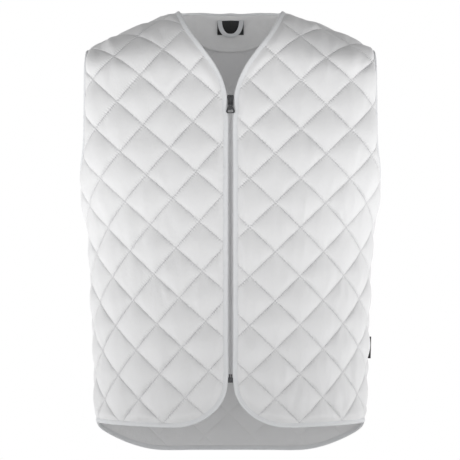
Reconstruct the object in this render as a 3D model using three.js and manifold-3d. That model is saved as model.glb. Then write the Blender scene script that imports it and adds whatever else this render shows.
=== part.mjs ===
// Thermal work vest, size L: a diamond-quilted, sleeveless V-neck body in its worn form, with edges
// bound in folded tape and a separating front zip.
//
// Lengths are millimetres. +Z is up, the front faces -Y and the wearer's left is +X. The origin lies
// midway between the two neck points of the shoulder seams, where the vest hangs on the shoulders.
//
// Every cloth piece is laid out flat on the wall of the body and then carried onto it. A place on the
// wall has three numbers: across, the distance round the wall from its centre line; along, the height,
// which runs on over the shoulder as a length; and out, the distance outward from the wall's middle.

import * as THREE from 'three';
import Module from 'manifold-3d';

const wasm = await Module();
wasm.setup();

const FRONT = -1;
const BACK = 1;
const QUARTER_TURN = Math.PI / 2;

// Body
const chestHalfWidth = 253;
const bodyDepth = 240;
const frontLength = 711;
const sideLength = 716;
const backLength = 775;
const hemCornerWidth = 96;
const hemCornerHeight = 79;
const tailCornerWidth = 155;

// Shoulders, neck and armholes
const shoulderDrop = 70;
const neckHalfWidth = 88;
const frontNeckDepth = 153;
const backNeckReach = 62;
const frontBendAtNeck = 110;
const backBendAtNeck = 160;
const bendAtShoulderTip = 55;
const underarmDrop = 287;
const shoulderHalfWidth = 248.5;
const armholeInset = 4.5;
const armholeCurveHeight = 75;

// Quilted wall: flat at its edges, with a low pyramid for each diamond between the quilting lines
const edgeThickness = 1.8;
const quiltLineThickness = 2.2;
const crownOut = 5.6;
const crownIn = 4;
const boundMargin = 10;
const seamMargin = 4;
const borderLap = 2;
const seamGap = 0.3;

// Folded edge tape
const tapeWidth = 7.8;
const tapeThickness = 0.8;
const tapeClearance = 0.6;

// Zip
const frontGap = 9;
const fitGap = 0.3;
const zipTapeWidth = 11.5;
const zipTapeThickness = 0.8;
const chainWidth = 5.2;
const chainThickness = 2.6;
const sliderLength = 17;
const sliderWidth = 11;
const sliderPlate = 1.2;
const sliderFrontEdgeRoom = 0.5;
const sliderAboveNeck = 2;
const zipTapeBelowNeck = 4;
const zipBelowCornerTop = 2;
const bridgeWidth = 2.6;
const bridgeHeight = 4;
const bridgeThickness = 1.1;
const pullLength = 19;
const pullWidth = 14.6;
const pullEyeWidth = 7;
const pullThickness = 1.3;
const pullBarDiameter = 1.4;
const pullHoleWidth = 9;
const pullHoleHeight = 4.2;
const pullHoleRim = 1.6;
const boxWidth = 8.2;
const boxHeight = 8.5;
const boxPlate = 0.9;
const boxFloor = 2.1;
const pinLength = 5.5;
const pinRoot = 1;

// Neck facing, label, hanger loop and side tag
const facingHalfWidth = 96;
const facingDepth = 75;
const facingThickness = 1.2;
const liningGap = 1;
const labelGap = 0.5;
const labelWidth = 48;
const labelHeight = 31;
const labelDrop = 11;
const labelThickness = 0.6;
const loopHalfWidth = 24;
const loopDrop = 44;
const loopTapeWidth = 8;
const loopTapeThickness = 1;
const loopBulge = 6.5;
const tagWidth = 9.3;
const tagHeight = 38.5;
const tagThickness = 0.9;
const tagDrop = 585;

// Rings of the worn body from the chest down. down is a share of frontLength, width of the half width
// at that height; front, back and side are shares of bodyDepth: how far the front and the back stand
// from the shoulder line, and how far behind it the side seam lies. The powers make a ring boxier.
const bodyRings = [
  { down: 0.177, width: 1.000, front: 0.465, back: 0.480, side: 0.000, frontPower: 4.50, backPower: 4.0 },
  { down: 0.214, width: 1.000, front: 0.470, back: 0.487, side: 0.000, frontPower: 4.50, backPower: 4.0 },
  { down: 0.320, width: 1.008, front: 0.480, back: 0.495, side: 0.020, frontPower: 4.00, backPower: 3.6 },
  { down: 0.373, width: 1.020, front: 0.486, back: 0.493, side: 0.035, frontPower: 3.40, backPower: 3.3 },
  { down: 0.406, width: 1.022, front: 0.488, back: 0.490, side: 0.050, frontPower: 3.00, backPower: 3.0 },
  { down: 0.439, width: 1.012, front: 0.488, back: 0.486, side: 0.070, frontPower: 2.75, backPower: 2.9 },
  { down: 0.498, width: 0.992, front: 0.486, back: 0.479, side: 0.110, frontPower: 2.40, backPower: 2.8 },
  { down: 0.557, width: 0.971, front: 0.484, back: 0.474, side: 0.150, frontPower: 2.22, backPower: 2.8 },
  { down: 0.648, width: 0.960, front: 0.480, back: 0.470, side: 0.185, frontPower: 2.15, backPower: 2.8 },
  { down: 0.790, width: 0.941, front: 0.484, back: 0.480, side: 0.190, frontPower: 2.15, backPower: 2.8 },
  { down: 0.968, width: 0.929, front: 0.489, back: 0.498, side: 0.190, frontPower: 2.15, backPower: 2.7 },
  { down: 1.090, width: 0.922, front: 0.490, back: 0.506, side: 0.190, frontPower: 2.15, backPower: 2.7 },
];

// Ridge of the shoulders: out is a share of the upper body's half width; front and back are shares of shoulderDrop
// above the neck point. Inside the neck point the ridge is only a guide, from which the two halves
// fall away to their neck edges.
const shoulderRidge = [
  { out: 0.000, front: 0.300, back: 0.440 },
  { out: 0.174, front: 0.215, back: 0.334 },
  { out: 0.277, front: 0.100, back: 0.165 },
  { out: 0.348, front: 0.000, back: 0.000 },
  { out: 0.545, front: -0.264, back: -0.264 },
  { out: 0.620, front: -0.364, back: -0.364 },
  { out: 0.830, front: -0.693, back: -0.693 },
  { out: 0.950, front: -0.914, back: -0.914 },
  { out: 1.000, front: -1.020, back: -1.020 },
];

// V-neck edge: down is a share of frontNeckDepth, open the share of the neck's half width that is
// still open there beyond the slot for the slider.
const neckEdge = [
  { down: 0.00, open: 1.000 },
  { down: 0.07, open: 0.940 },
  { down: 0.23, open: 0.800 },
  { down: 0.30, open: 0.722 },
  { down: 0.45, open: 0.512 },
  { down: 0.60, open: 0.305 },
  { down: 0.74, open: 0.150 },
  { down: 0.87, open: 0.055 },
  { down: 1.00, open: 0.000 },
];

// Half outline of the slider's plates: up is a share of its length, wide of its half width
const sliderOutline = [
  { up: 0.00, wide: 0.67 },
  { up: 0.05, wide: 0.78 },
  { up: 0.45, wide: 0.80 },
  { up: 0.72, wide: 1.00 },
  { up: 0.90, wide: 1.00 },
  { up: 0.98, wide: 0.82 },
  { up: 1.00, wide: 0.60 },
];

// Side view of the bridge over the slider: up is a share of its length, out of its height
const bridgeOutline = [
  { up: 0.00, out: 0.00 },
  { up: 0.00, out: 0.75 },
  { up: 0.08, out: 1.00 },
  { up: 0.92, out: 1.00 },
  { up: 1.00, out: 0.75 },
  { up: 1.00, out: 0.00 },
];

// Half outline of the pull tab below its eye: down is a share of its length, wide of its half width
const pullOutline = [
  { down: 0.684, wide: 0.89 },
  { down: 0.789, wide: 1.00 },
  { down: 0.905, wide: 1.00 },
  { down: 1.000, wide: 0.75 },
];

// Quilting of each panel: a crossing of two lines at across and along, the half diagonals of a
// diamond, and the turn of the whole lattice in degrees.
const quilting = {
  front_panel_left: { across: 118, along: -373, halfWidth: 43.0, halfHeight: 41.2, turn: 0 },
  front_panel_right: { across: -97, along: -324, halfWidth: 42.0, halfHeight: 42.0, turn: 3.6 },
  back_panel: { across: 4, along: -42, halfWidth: 42.5, halfHeight: 41.6, turn: 0 },
};

// Sizes that follow from the ones above. Above the chest the body is a little wider than the
// shoulders, so that the armhole edges lie on its sides.
const upperHalfWidth = shoulderHalfWidth + armholeInset;
const upperFoot = 0.214;
const chestTop = 0.32;
const edgeHalf = edgeThickness / 2;
const tapeInner = edgeHalf + tapeClearance;
const tapeOuter = tapeInner + tapeThickness;
const panelInset = tapeThickness + tapeClearance;
const zipLevel = -(tapeOuter + fitGap + zipTapeThickness / 2);
const chainRoom = chainWidth / 2 + fitGap;
const slotHalf = sliderWidth / 2 + sliderFrontEdgeRoom;
const facingLevel = -(crownIn + liningGap + facingThickness / 2);
const labelLevel = facingLevel - facingThickness / 2 - labelGap - labelThickness / 2;
const loopLevel = labelLevel - labelThickness / 2 - fitGap - loopTapeThickness / 2;
const cornerTop = frontLength - hemCornerHeight;
const sliderTop = frontNeckDepth - sliderAboveNeck;
const zipFoot = cornerTop + zipBelowCornerTop;

// Materials
const cloth = { color: 0xe9ebee, roughness: 0.62, metalness: 0 };
const edgeTape = { color: 0xf3f4f5, roughness: 0.7, metalness: 0 };
const lining = { color: 0xc9cbce, roughness: 0.75, metalness: 0 };
const greyTape = { color: 0xa7a8aa, roughness: 0.8, metalness: 0 };
const chainPlastic = { color: 0x8f9092, roughness: 0.45, metalness: 0 };
const darkMetal = { color: 0x3a3b3d, roughness: 0.35, metalness: 0.9 };
const blackWeave = { color: 0x121314, roughness: 0.7, metalness: 0 };

// Value of one column of a table at a place, on a smooth curve through its rows
function readTable(table, key, place, column) {
  const last = table.length - 1;
  if (place <= table[0][key]) return table[0][column];
  if (place >= table[last][key]) return table[last][column];
  let row = 0;
  while (place > table[row + 1][key]) row += 1;
  const slopeAt = (index) => {
    const before = table[Math.max(index - 1, 0)];
    const after = table[Math.min(index + 1, last)];
    return (after[column] - before[column]) / (after[key] - before[key]);
  };
  const span = table[row + 1][key] - table[row][key];
  const t = (place - table[row][key]) / span;
  const start = table[row][column];
  const end = table[row + 1][column];
  const rise = t * t * (3 - 2 * t);
  return start + (end - start) * rise
    + span * (slopeAt(row) * t * (1 - t) * (1 - t) - slopeAt(row + 1) * t * t * (1 - t));
}

// Quarter ring of one half of the body at a height, from its centre line to the side seam, as points
// with their distance round the ring
const ringStore = new Map();
function quarterRing(half, height) {
  const key = `${half} ${height.toFixed(3)}`;
  if (ringStore.has(key)) return ringStore.get(key);
  const read = (column) => readTable(bodyRings, 'down', -height / frontLength, column);
  const side = bodyDepth * read('side');
  const depth = half === FRONT ? bodyDepth * read('front') + side : bodyDepth * read('back') - side;
  const power = read(half === FRONT ? 'frontPower' : 'backPower');
  const toChest = THREE.MathUtils.smoothstep(-height / frontLength, upperFoot, chestTop);
  const width = read('width') * THREE.MathUtils.lerp(upperHalfWidth, chestHalfWidth, toChest);
  const steps = 72;
  const ring = [];
  for (let i = 0; i <= steps; i += 1) {
    const angle = QUARTER_TURN * i / steps;
    const reach = ((Math.sin(angle) / width) ** power + (Math.cos(angle) / depth) ** power) ** (-1 / power);
    const x = reach * Math.sin(angle);
    const y = side + half * reach * Math.cos(angle);
    const before = ring[i - 1];
    ring.push({ x, y, across: before ? before.across + Math.hypot(x - before.x, y - before.y) : 0 });
  }
  ringStore.set(key, ring);
  return ring;
}

// Place on a quarter ring where one of its columns has a value; past the side seam the wall runs on
// straight
function placeOnRing(ring, column, value) {
  let row = 0;
  while (row < ring.length - 2 && value > ring[row + 1][column]) row += 1;
  const t = (value - ring[row][column]) / (ring[row + 1][column] - ring[row][column]);
  const mix = (name) => ring[row][name] + (ring[row + 1][name] - ring[row][name]) * t;
  return { x: mix('x'), y: mix('y'), across: mix('across') };
}

const ridgeHeight = (half, x) =>
  shoulderDrop * readTable(shoulderRidge, 'out', x / upperHalfWidth, half === FRONT ? 'front' : 'back');

// Bend of the wall over the shoulder, a quarter ellipse that ends on the ridge
function shoulderBend(half, x, y) {
  const toTip = THREE.MathUtils.smoothstep(x, neckHalfWidth, upperHalfWidth);
  const atNeck = half === FRONT ? frontBendAtNeck : backBendAtNeck;
  const height = atNeck + (bendAtShoulderTip - atNeck) * toTip;
  const length = QUARTER_TURN * Math.sqrt((y * y + height * height) / 2);
  return { height, length, start: ridgeHeight(half, x) - height };
}

const sideAcross = (half, along) => quarterRing(half, Math.min(along, 0)).at(-1).across;

// Middle of the wall at a place. Seen from outside, across runs to the right and along runs up.
function wallMiddle(half, across, along) {
  const spot = placeOnRing(quarterRing(half, Math.min(along, 0)), 'across', Math.abs(across));
  const x = -half * Math.sign(across) * spot.x;
  const bend = shoulderBend(half, spot.x, spot.y);
  if (along <= bend.start) return new THREE.Vector3(x, spot.y, along);
  const turn = QUARTER_TURN * (along - bend.start) / bend.length;
  return new THREE.Vector3(x, spot.y * Math.cos(turn), bend.start + bend.height * Math.sin(turn));
}

// Directions of the wall at a place
function wallFrame(half, across, along) {
  const step = 0.5;
  const acrossWay = wallMiddle(half, across + step, along).sub(wallMiddle(half, across - step, along));
  const alongWay = wallMiddle(half, across, along + step).sub(wallMiddle(half, across, along - step));
  const out = acrossWay.cross(alongWay).normalize();
  const up = alongWay.normalize();
  return { out, up, right: up.clone().cross(out).normalize() };
}

const wallPoint = (half, across, along, out) =>
  wallMiddle(half, across, along).addScaledVector(wallFrame(half, across, along).out, out);

// Distance round the wall, and along it, of a point with a given x and height
function placeAt(half, x, height) {
  const spot = placeOnRing(quarterRing(half, height), 'x', x);
  const bend = shoulderBend(half, spot.x, spot.y);
  const past = Math.min((height - bend.start) / bend.height, 1);
  const along = past > 0 ? bend.start + bend.length * Math.asin(past) / QUARTER_TURN : height;
  return { across: spot.across, along };
}

// End of the wall at the shoulder seam, and its length along there
function seamAt(half, across) {
  const spot = placeOnRing(quarterRing(half, 0), 'across', across);
  const bend = shoulderBend(half, spot.x, spot.y);
  return bend.start + bend.length;
}

// Volume inside a set of triangles, negative when they face inward
function signedVolume(points, triangles) {
  let sum = 0;
  for (const [a, b, c] of triangles) {
    sum += points[a].dot(points[b].clone().cross(points[c])) / 6;
  }
  return sum;
}

// Closed body whose triangles face outward
function closedBody(points, triangles) {
  const outward = signedVolume(points, triangles) > 0;
  return { points, triangles: outward ? triangles : triangles.map(([a, b, c]) => [a, c, b]) };
}

const turnOf = (a, b, c) => Math.sign((b.x - a.x) * (c.y - a.y) - (b.y - a.y) * (c.x - a.x));

// Body through rows of points. Each row has the corners of one flat section, and the rows either form
// a ring or are closed off at both ends.
function loftBody(rows, section, ring = false) {
  const count = section.length;
  const triangles = [];
  const spans = ring ? rows.length : rows.length - 1;
  for (let r = 0; r < spans; r += 1) {
    for (let c = 0; c < count; c += 1) {
      const here = r * count;
      const next = ((r + 1) % rows.length) * count;
      const other = (c + 1) % count;
      triangles.push([here + c, here + other, next + other], [here + c, next + other, next + c]);
    }
  }
  if (!ring) {
    const winding = THREE.ShapeUtils.area(section) > 0 ? 1 : -1;
    const last = (rows.length - 1) * count;
    for (const face of THREE.ShapeUtils.triangulateShape(section, [])) {
      const [a, b, c] = face;
      const [i, j, k] = turnOf(section[a], section[b], section[c]) === winding ? [a, b, c] : [a, c, b];
      triangles.push([i, k, j], [last + i, last + j, last + k]);
    }
  }
  return closedBody(rows.flat(), triangles);
}

function geometryOf({ points, triangles }) {
  const geometry = new THREE.BufferGeometry().setFromPoints(points);
  geometry.setIndex(triangles.flat());
  return geometry;
}

// Bodies go in and out of the solid library as plain points and triangles
function solidOf({ points, triangles }) {
  const vertProperties = new Float32Array(points.flatMap((point) => point.toArray()));
  return new wasm.Manifold(new wasm.Mesh({
    numProp: 3,
    vertProperties,
    triVerts: new Uint32Array(triangles.flat()),
  }));
}

function bodyOf(solid) {
  const { vertProperties, triVerts, numProp } = solid.getMesh();
  const points = [];
  for (let i = 0; i < vertProperties.length; i += numProp) {
    points.push(new THREE.Vector3(...vertProperties.slice(i, i + 3)));
  }
  const triangles = [];
  for (let i = 0; i < triVerts.length; i += 3) {
    triangles.push([triVerts[i], triVerts[i + 1], triVerts[i + 2]]);
  }
  return { points, triangles };
}

const meshOf = (name, geometry, material) => {
  const mesh = new THREE.Mesh(geometry, new THREE.MeshStandardMaterial(material));
  mesh.name = name;
  return mesh;
};

const evenly = (steps) => Array.from({ length: steps }, (_, i) => i / steps);

// Outline of a front from the neck point down the opening, round the hem and back up, as stops that
// run counter-clockwise seen from outside. The edge of a stop names the line that runs on from it.
function frontOutline() {
  const stops = [];
  const edgeHalfGap = frontGap / 2;
  for (const t of evenly(11)) {
    const down = t ** 2;
    const x = slotHalf + (neckHalfWidth - slotHalf) * readTable(neckEdge, 'down', down, 'open');
    stops.push({ ...placeAt(FRONT, x, -frontNeckDepth * down), edge: 'opening' });
  }
  const slotFoot = frontNeckDepth + sliderLength;
  const edgeTop = slotFoot + sliderLength;
  stops.push({ across: slotHalf, along: -frontNeckDepth, edge: 'opening' });
  stops.push({ across: slotHalf, along: -slotFoot, edge: 'opening' });
  for (const t of evenly(7)) {
    stops.push({ across: edgeHalfGap, along: -edgeTop - (cornerTop - edgeTop) * t, edge: 'opening' });
  }
  for (const t of evenly(7)) {
    const across = edgeHalfGap + hemCornerWidth * (1 - Math.cos(QUARTER_TURN * t));
    const along = -cornerTop - hemCornerHeight * Math.sin(QUARTER_TURN * t);
    stops.push({ across, along, edge: 'opening' });
  }
  const hemStart = edgeHalfGap + hemCornerWidth;
  const hemEnd = sideAcross(FRONT, -sideLength);
  for (const t of evenly(9)) {
    const along = -frontLength - (sideLength - frontLength) * t ** 3;
    stops.push({ across: hemStart + (hemEnd - hemStart) * t, along, edge: 'opening' });
  }
  stops.push(...sideAndArmhole(FRONT), ...shoulderSeam(FRONT));
  return stops;
}

// Side seam upward, then the armhole up to the shoulder tip
function sideAndArmhole(half) {
  const stops = [];
  const reach = armholeReach(half);
  for (const t of evenly(8)) {
    const along = -sideLength + (sideLength - underarmDrop) * t;
    stops.push({ across: sideAcross(half, along), along, edge: 'side' });
  }
  for (const t of evenly(5)) {
    const along = -underarmDrop + armholeCurveHeight * (1 - Math.cos(QUARTER_TURN * t));
    const across = sideAcross(half, along) - reach * Math.sin(QUARTER_TURN * t);
    stops.push({ across, along, edge: 'armhole' });
  }
  const curveTop = armholeCurveHeight - underarmDrop;
  const tip = seamAt(half, sideAcross(half, 0) - reach);
  const bendStart = -shoulderDrop - bendAtShoulderTip;
  const straight = evenly(3).map((t) => curveTop + (bendStart - curveTop) * t);
  const bent = evenly(8).map((t) => bendStart + (tip - bendStart) * t);
  for (const along of [...straight, ...bent]) {
    stops.push({ across: sideAcross(half, along) - reach, along, edge: 'armhole' });
  }
  return stops;
}

// Distance round the wall from the armhole's edge to the side line
const armholeReach = (half) =>
  sideAcross(half, 0) - placeOnRing(quarterRing(half, 0), 'x', shoulderHalfWidth).across;

// Shoulder seam from the tip to the neck point
function shoulderSeam(half) {
  const tip = sideAcross(half, 0) - armholeReach(half);
  const neck = placeAt(half, neckHalfWidth, 0).across;
  return evenly(6).map((t) => {
    const across = tip + (neck - tip) * t;
    return { across, along: seamAt(half, across), edge: 'shoulder' };
  });
}

// Outline of the back: its right half upward from the tail's middle, and the same mirrored
function backOutline() {
  const right = [];
  const hemEnd = sideAcross(BACK, -sideLength);
  const cornerStart = hemEnd - tailCornerWidth;
  for (const t of evenly(3)) {
    right.push({ across: cornerStart * t, along: -backLength, edge: 'tail' });
  }
  // The stops crowd towards the side, where the body curves most
  for (const step of evenly(12)) {
    const t = 1 - (1 - step) ** 1.5;
    const along = -sideLength - (backLength - sideLength) * Math.cos(QUARTER_TURN * t);
    right.push({ across: cornerStart + tailCornerWidth * t, along, edge: 'tail' });
  }
  right.push(...sideAndArmhole(BACK), ...shoulderSeam(BACK));
  for (const t of evenly(8)) right.push({ ...backNeckPlace(t), edge: 'neck' });
  const middle = { ...backNeckPlace(1), edge: 'neck' };
  return [...right, middle, ...mirroredStops([...right, middle]).slice(1, -1)];
}

// Place of the back neck edge, from the neck point at 0 to the centre line at 1
function backNeckPlace(t) {
  const x = neckHalfWidth * Math.cos(QUARTER_TURN * t);
  const y = backNeckReach * Math.sin(QUARTER_TURN * t);
  const spot = placeOnRing(quarterRing(BACK, 0), 'x', x);
  const bend = shoulderBend(BACK, spot.x, spot.y);
  return { across: spot.across, along: bend.start + bend.length * Math.acos(y / spot.y) / QUARTER_TURN };
}

// Stops on the other side of the centre line, in reverse so that they still run counter-clockwise
function mirroredStops(stops) {
  return stops.map(({ across, along }, i) => ({
    across: -across,
    along,
    edge: stops[(i + stops.length - 1) % stops.length].edge,
  })).reverse();
}

const isSeam = (edge) => edge === 'side' || edge === 'shoulder';

// Outline moved inward, by one distance on bound edges and another on seams
const nearlyStraight = 0.02;
function insetOutline(stops, boundInset, seamInset) {
  const count = stops.length;
  const lines = stops.map((stop, i) => {
    const next = stops[(i + 1) % count];
    const way = new THREE.Vector2(next.across - stop.across, next.along - stop.along).normalize();
    return { inward: new THREE.Vector2(-way.y, way.x), inset: isSeam(stop.edge) ? seamInset : boundInset };
  });
  return stops.map((stop, i) => {
    const one = lines[(i + count - 1) % count];
    const two = lines[i];
    const cross = one.inward.cross(two.inward);
    const place = new THREE.Vector2(stop.across, stop.along);
    if (Math.abs(cross) < nearlyStraight) return place.addScaledVector(two.inward, two.inset);
    place.x += (one.inset * two.inward.y - two.inset * one.inward.y) / cross;
    place.y += (two.inset * one.inward.x - one.inset * two.inward.x) / cross;
    return place;
  });
}

// Slab over a box, flat in across and along: the quilting before it is cut to shape. Each diamond is a
// low pyramid outside and another inside.
function quiltSlab(quilt, box) {
  const turn = THREE.MathUtils.degToRad(quilt.turn);
  const origin = new THREE.Vector2();
  const start = new THREE.Vector2(quilt.across, quilt.along);
  const sideOne = new THREE.Vector2(quilt.halfWidth, -quilt.halfHeight).rotateAround(origin, turn);
  const sideTwo = new THREE.Vector2(quilt.halfWidth, quilt.halfHeight).rotateAround(origin, turn);
  const area = sideOne.cross(sideTwo);
  const { min, max } = box;
  const counts = [[min.x, min.y], [max.x, min.y], [min.x, max.y], [max.x, max.y]].map(([x, y]) => {
    const away = new THREE.Vector2(x, y).sub(start);
    return new THREE.Vector2(away.cross(sideTwo) / area, sideOne.cross(away) / area);
  });
  const range = new THREE.Box2().setFromPoints(counts);
  const first = range.min.floor();
  const last = range.max.ceil();
  const wide = last.x - first.x + 1;
  const tall = last.y - first.y + 1;
  const spot = (i, j, out) => {
    const place = start.clone()
      .addScaledVector(sideOne, first.x + i)
      .addScaledVector(sideTwo, first.y + j);
    return new THREE.Vector3(place.x, place.y, out);
  };
  const points = [];
  const triangles = [];
  for (const out of [quiltLineThickness / 2, -quiltLineThickness / 2]) {
    for (let j = 0; j < tall; j += 1) {
      for (let i = 0; i < wide; i += 1) points.push(spot(i, j, out));
    }
  }
  for (let j = 0; j < tall - 1; j += 1) {
    for (let i = 0; i < wide - 1; i += 1) {
      const a = j * wide + i;
      const loop = [a, a + 1, a + wide + 1, a + wide];
      const crown = points.push(spot(i + 0.5, j + 0.5, crownOut), spot(i + 0.5, j + 0.5, -crownIn)) - 2;
      loop.forEach((corner, k) => {
        const next = loop[(k + 1) % 4];
        triangles.push([corner, next, crown], [wide * tall + next, wide * tall + corner, crown + 1]);
      });
    }
  }
  return closedBody(points, [...triangles, ...rimTriangles(wide, tall)]);
}

// Walls between the edges of two grids of points, one above the other
function rimTriangles(wide, tall) {
  const rim = [];
  for (let i = 0; i < wide - 1; i += 1) rim.push(i);
  for (let j = 0; j < tall - 1; j += 1) rim.push(j * wide + wide - 1);
  for (let i = wide - 1; i > 0; i -= 1) rim.push((tall - 1) * wide + i);
  for (let j = tall - 1; j > 0; j -= 1) rim.push(j * wide);
  const below = wide * tall;
  return rim.flatMap((a, i) => {
    const b = rim[(i + 1) % rim.length];
    return [[b, a, below + a], [b, below + a, below + b]];
  });
}

// Upright prism over a flat outline
function prism(outline, low, high) {
  const rows = [low, high].map((level) => outline.map(({ x, y }) => new THREE.Vector3(x, y, level)));
  return loftBody(rows, outline);
}

const square = [[0, 0], [1, 0], [1, 1], [0, 1]].map(([x, y]) => new THREE.Vector2(x, y));

// Quilted panel: the quilting inside the margins, joined to a flat border that runs round it, and
// both carried onto the wall. The border is a hair thinner at every other stop, so that all its stops
// stay points of the joined body, as they are points of the tapes and the neighbouring panels.
const borderWaver = 0.98;
function quiltedPanel(name, half, stops) {
  const edgeOutline = insetOutline(stops, panelInset, seamGap / 2);
  const quiltOutline = insetOutline(stops, boundMargin, seamMargin);
  const borderInner = insetOutline(stops, boundMargin + borderLap, seamMargin + borderLap);
  const box = new THREE.Box2().setFromPoints(quiltOutline);
  const cutHeight = 2 * (crownOut + crownIn);
  const cutter = solidOf(prism(quiltOutline, -cutHeight, cutHeight));
  const quilt = solidOf(quiltSlab(quilting[name], box)).intersect(cutter);
  const rows = edgeOutline.map((edge, i) => {
    const inner = borderInner[i];
    const level = edgeHalf * (i % 2 ? borderWaver : 1);
    return [[edge, -level], [inner, -level], [inner, level], [edge, level]]
      .map(([spot, out]) => new THREE.Vector3(spot.x, spot.y, out));
  });
  const flat = bodyOf(quilt.add(solidOf(loftBody(rows, square, true))));
  flat.points = flat.points.map((point) => wallPoint(half, point.x, point.y, point.z));
  return meshOf(name, geometryOf(flat), cloth);
}

// Section of the folded tape: how far in from the finished edge, and how far out from the middle
const tapeSection = [
  [tapeWidth, tapeOuter],
  [0, tapeOuter],
  [0, -tapeOuter],
  [tapeWidth, -tapeOuter],
  [tapeWidth, -tapeInner],
  [tapeThickness, -tapeInner],
  [tapeThickness, tapeInner],
  [tapeWidth, tapeInner],
].map(([x, y]) => new THREE.Vector2(x, y));

// Rows of tape sections along one named edge of a panel, in the outline's order
function tapeRows(half, stops, edge, seamInset) {
  const outlines = tapeSection.map(({ x }) => insetOutline(stops, x, seamInset));
  const count = stops.length;
  const isStart = (i) => stops[i].edge === edge && stops[(i + count - 1) % count].edge !== edge;
  const first = stops.findIndex((_, i) => isStart(i));
  const rows = [];
  for (let step = 0; step < count; step += 1) {
    const i = (first + step) % count;
    rows.push(tapeSection.map(({ y }, c) => wallPoint(half, outlines[c][i].x, outlines[c][i].y, y)));
    if (stops[i].edge !== edge) break;
  }
  return rows;
}

const tapeAlong = (name, half, stops, edge) =>
  meshOf(name, geometryOf(loftBody(tapeRows(half, stops, edge, seamGap / 2), tapeSection)), edgeTape);

// Tape of a whole armhole: up the front's edge and down the back's, which share their end sections
function armholeTape(name, frontStops, backStops) {
  const up = tapeRows(FRONT, frontStops, 'armhole', 0);
  const down = tapeRows(BACK, backStops, 'armhole', 0);
  const start = up[0][0];
  const sameWay = start.distanceTo(down[0][0]) < start.distanceTo(down.at(-1)[0]);
  const back = sameWay ? down.reverse() : down;
  return meshOf(name, geometryOf(loftBody([...up, ...back.slice(1, -1)], tapeSection, true)), edgeTape);
}

// Flat strip on the wall through stops, each with its two edges; thin in out
function wallStrip(half, stops, level, thickness) {
  const rows = stops.map(([left, right]) => [
    [left, level - thickness / 2],
    [right, level - thickness / 2],
    [right, level + thickness / 2],
    [left, level + thickness / 2],
  ].map(([spot, out]) => wallPoint(half, spot.x, spot.y, out)));
  return geometryOf(loftBody(rows, square));
}

// Upright strip on one side of the front's centre line, between two distances from it. Between its
// ends it has the heights of the front edge's stops, so that it follows the edge tape closely.
const leastStep = 1;
function zipStrip(side, inner, outer, top, foot, thickness) {
  const isBetween = ({ edge, along }) =>
    edge === 'opening' && along < -top - leastStep && along > leastStep - foot;
  const between = frontOutline()
    .filter(isBetween)
    .map(({ along }) => along);
  const stops = [-top, ...between, -foot].map((along) =>
    [new THREE.Vector2(side * inner, along), new THREE.Vector2(side * outer, along)]);
  return wallStrip(FRONT, stops, zipLevel, thickness);
}

// Solid of an extruded shape, set by a matrix
function extruded(shape, depth, matrix = new THREE.Matrix4()) {
  const geometry = new THREE.ExtrudeGeometry(shape, { depth, bevelEnabled: false, curveSegments: 6 });
  geometry.applyMatrix4(matrix);
  const source = geometry.getAttribute('position');
  const places = new Map();
  const points = [];
  const order = [];
  for (let i = 0; i < source.count; i += 1) {
    const point = new THREE.Vector3().fromBufferAttribute(source, i);
    const key = point.toArray().map((value) => value.toFixed(4)).join(' ');
    if (!places.has(key)) {
      places.set(key, points.length);
      points.push(point);
    }
    order.push(places.get(key));
  }
  const triangles = [];
  for (let i = 0; i < order.length; i += 3) triangles.push([order[i], order[i + 1], order[i + 2]]);
  return solidOf(closedBody(points, triangles.filter(([a, b, c]) => a !== b && b !== c && c !== a)));
}

const outlineShape = (points) => new THREE.Shape(points.map(([x, y]) => new THREE.Vector2(x, y)));

// Block between two corners
function block(low, high) {
  const shape = outlineShape([[low[0], low[1]], [high[0], low[1]], [high[0], high[1]], [low[0], high[1]]]);
  return extruded(shape, high[2] - low[2], new THREE.Matrix4().makeTranslation(0, 0, low[2]));
}

// Turns a side view, drawn as (along, out), into a plate of the given width across
const sideView = (width) => new THREE.Matrix4().makeBasis(
  new THREE.Vector3(0, 1, 0),
  new THREE.Vector3(0, 0, 1),
  new THREE.Vector3(1, 0, 0),
).setPosition(-width / 2, 0, 0);

// Sizes of the slider in its own frame: x across, y up from its mouth, z out from the chain's middle
const channelHalf = chainThickness / 2 + fitGap;
const sliderHalf = channelHalf + sliderPlate;
const slotHeight = zipTapeThickness + 2 * fitGap;
const branchStart = sliderLength * 0.5;
const branchOverlap = 0.5;
const sliderWall = 0.7;
const bridgeFoot = sliderLength * 0.15;
const bridgeHead = sliderLength * 0.85;
const pullAxisUp = bridgeFoot + bridgeThickness + pullBarDiameter / 2 + fitGap;
const pullAxisOut = sliderHalf + (bridgeHeight - bridgeThickness) / 2;
const cutMargin = 1;

// Points of a half outline on the right, upward, and mirrored on the left, downward
const bothSides = (halfPoints) => [...halfPoints, ...halfPoints.map(([x, y]) => [-x, y]).reverse()];

const raised = (height) => new THREE.Matrix4().makeTranslation(0, 0, height);

// Line of the bridge in its side view, moved inward by an inset
const bridgeLine = (inset) => bridgeOutline.map(({ up, out }) => [
  bridgeFoot + inset + (bridgeHead - bridgeFoot - 2 * inset) * up,
  (bridgeHeight + fitGap - inset) * out - fitGap,
]);

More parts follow.
